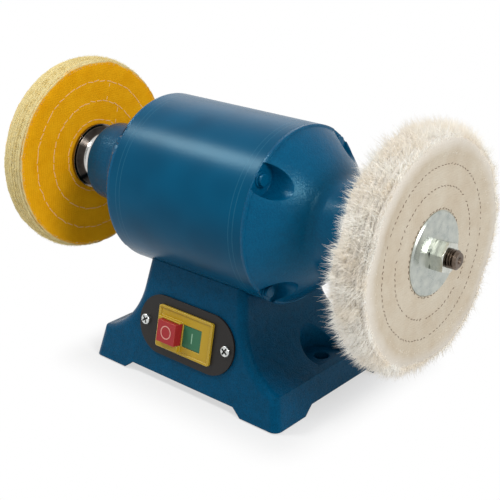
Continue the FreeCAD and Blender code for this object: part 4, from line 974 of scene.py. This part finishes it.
def white_for_the_eye(tree, lit, fade=None):
    """White where the camera, a gloss or glass looks, and the lit surface for all other light. A
    fade says how white each place of a floor is."""
    path = add(tree, "ShaderNodeLightPath")
    direct = add(tree, "ShaderNodeMath", {0: (path, "Is Camera Ray"), 1: (path, "Is Glossy Ray")},
                 operation="MAXIMUM")
    seen = add(tree, "ShaderNodeMath", {0: (direct, 0), 1: (path, "Is Transmission Ray")},
               operation="MAXIMUM")
    if fade:
        seen = add(tree, "ShaderNodeMath", {0: (seen, 0), 1: (fade, 0)}, operation="MULTIPLY")
    white = add(tree, "ShaderNodeEmission" if fade else "ShaderNodeBackground",
                {"Color": (1, 1, 1, 1), "Strength": 1.0})
    return add(tree, "ShaderNodeMixShader", {"Fac": (seen, 0), 1: (lit, 0), 2: (white, 0)})


def floor_fade(tree):
    """How far the floor has faded to white, from the foot of the machine outwards."""
    footprint = (87 * MM, 70 * MM, 0)
    faded_after = 38 * MM
    where = add(tree, "ShaderNodeTexCoord")
    folded = add(tree, "ShaderNodeVectorMath", {0: (where, "Object")}, operation="ABSOLUTE")
    outside = add(tree, "ShaderNodeVectorMath", {0: (folded, 0), 1: footprint}, operation="SUBTRACT")
    clipped = add(tree, "ShaderNodeVectorMath", {0: (outside, 0), 1: (0, 0, 0)}, operation="MAXIMUM")
    away = add(tree, "ShaderNodeVectorMath", {0: (clipped, 0)}, operation="LENGTH")
    return add(tree, "ShaderNodeMapRange", {"Value": (away, "Value"), "From Max": faded_after,
                                            "To Min": 0.6, "To Max": 1.0},
               interpolation_type="SMOOTHSTEP")


def make_floor():
    """White paper that reaches further than the camera sees."""
    half_width = 6.0              # m
    bm = bmesh.new()
    bmesh.ops.create_grid(bm, x_segments=1, y_segments=1, size=half_width)
    mesh = bpy.data.meshes.new("floor")
    bm.to_mesh(mesh)
    bm.free()
    floor = bpy.data.objects.new("floor", mesh)
    bpy.context.scene.collection.objects.link(floor)
    material, tree = new_material("white_paper_floor")
    paper = add(tree, "ShaderNodeBsdfDiffuse", {"Color": rgb("#DCDCDC")})
    surface = white_for_the_eye(tree, paper, floor_fade(tree))
    add(tree, "ShaderNodeOutputMaterial", {"Surface": (surface, 0)})
    mesh.materials.append(material)


def make_world():
    """A white studio that lights all sides a little."""
    world = bpy.data.worlds.new("studio")
    world.use_nodes = True
    bpy.context.scene.world = world
    tree = world.node_tree
    tree.nodes.clear()
    dim = add(tree, "ShaderNodeBackground", {"Color": (1, 1, 1, 1), "Strength": 0.44})
    add(tree, "ShaderNodeOutputWorld", {"Surface": (white_for_the_eye(tree, dim), 0)})


def make_softbox(name, place, width, watts):
    """A square lamp, its place and width in metres, that looks at the machine."""
    machine = Vector((0, 0, 100 * MM))
    data = bpy.data.lights.new(name, "AREA")
    data.shape = "SQUARE"
    data.size = width
    data.energy = watts
    light = bpy.data.objects.new(name, data)
    light.location = place
    light.rotation_euler = (machine - Vector(place)).to_track_quat("-Z", "Y").to_euler()
    bpy.context.scene.collection.objects.link(light)


# ---------------------------------------------------------------- build

bpy.context.scene.view_settings.view_transform = "Standard"
make_camera()
materials = {**make_paints(), **make_metals(), **make_plastics(), **make_soft_materials()}
dress_nodes(materials)
make_buff("buff_yellow", YELLOW_BUFF, materials)
make_buff("buff_white", WHITE_BUFF, materials)
make_shaft(materials["thread"])
make_switch_details(materials)
make_floor()
make_world()
make_softbox("high_left_softbox", (-0.80, -0.39, 1.11), 0.30, 9.0)
make_softbox("back_left_softbox", (-0.84, 0.79, 0.75), 0.60, 0.8)
make_softbox("right_softbox", (1.25, -0.36, 1.0), 0.42, 12.5)
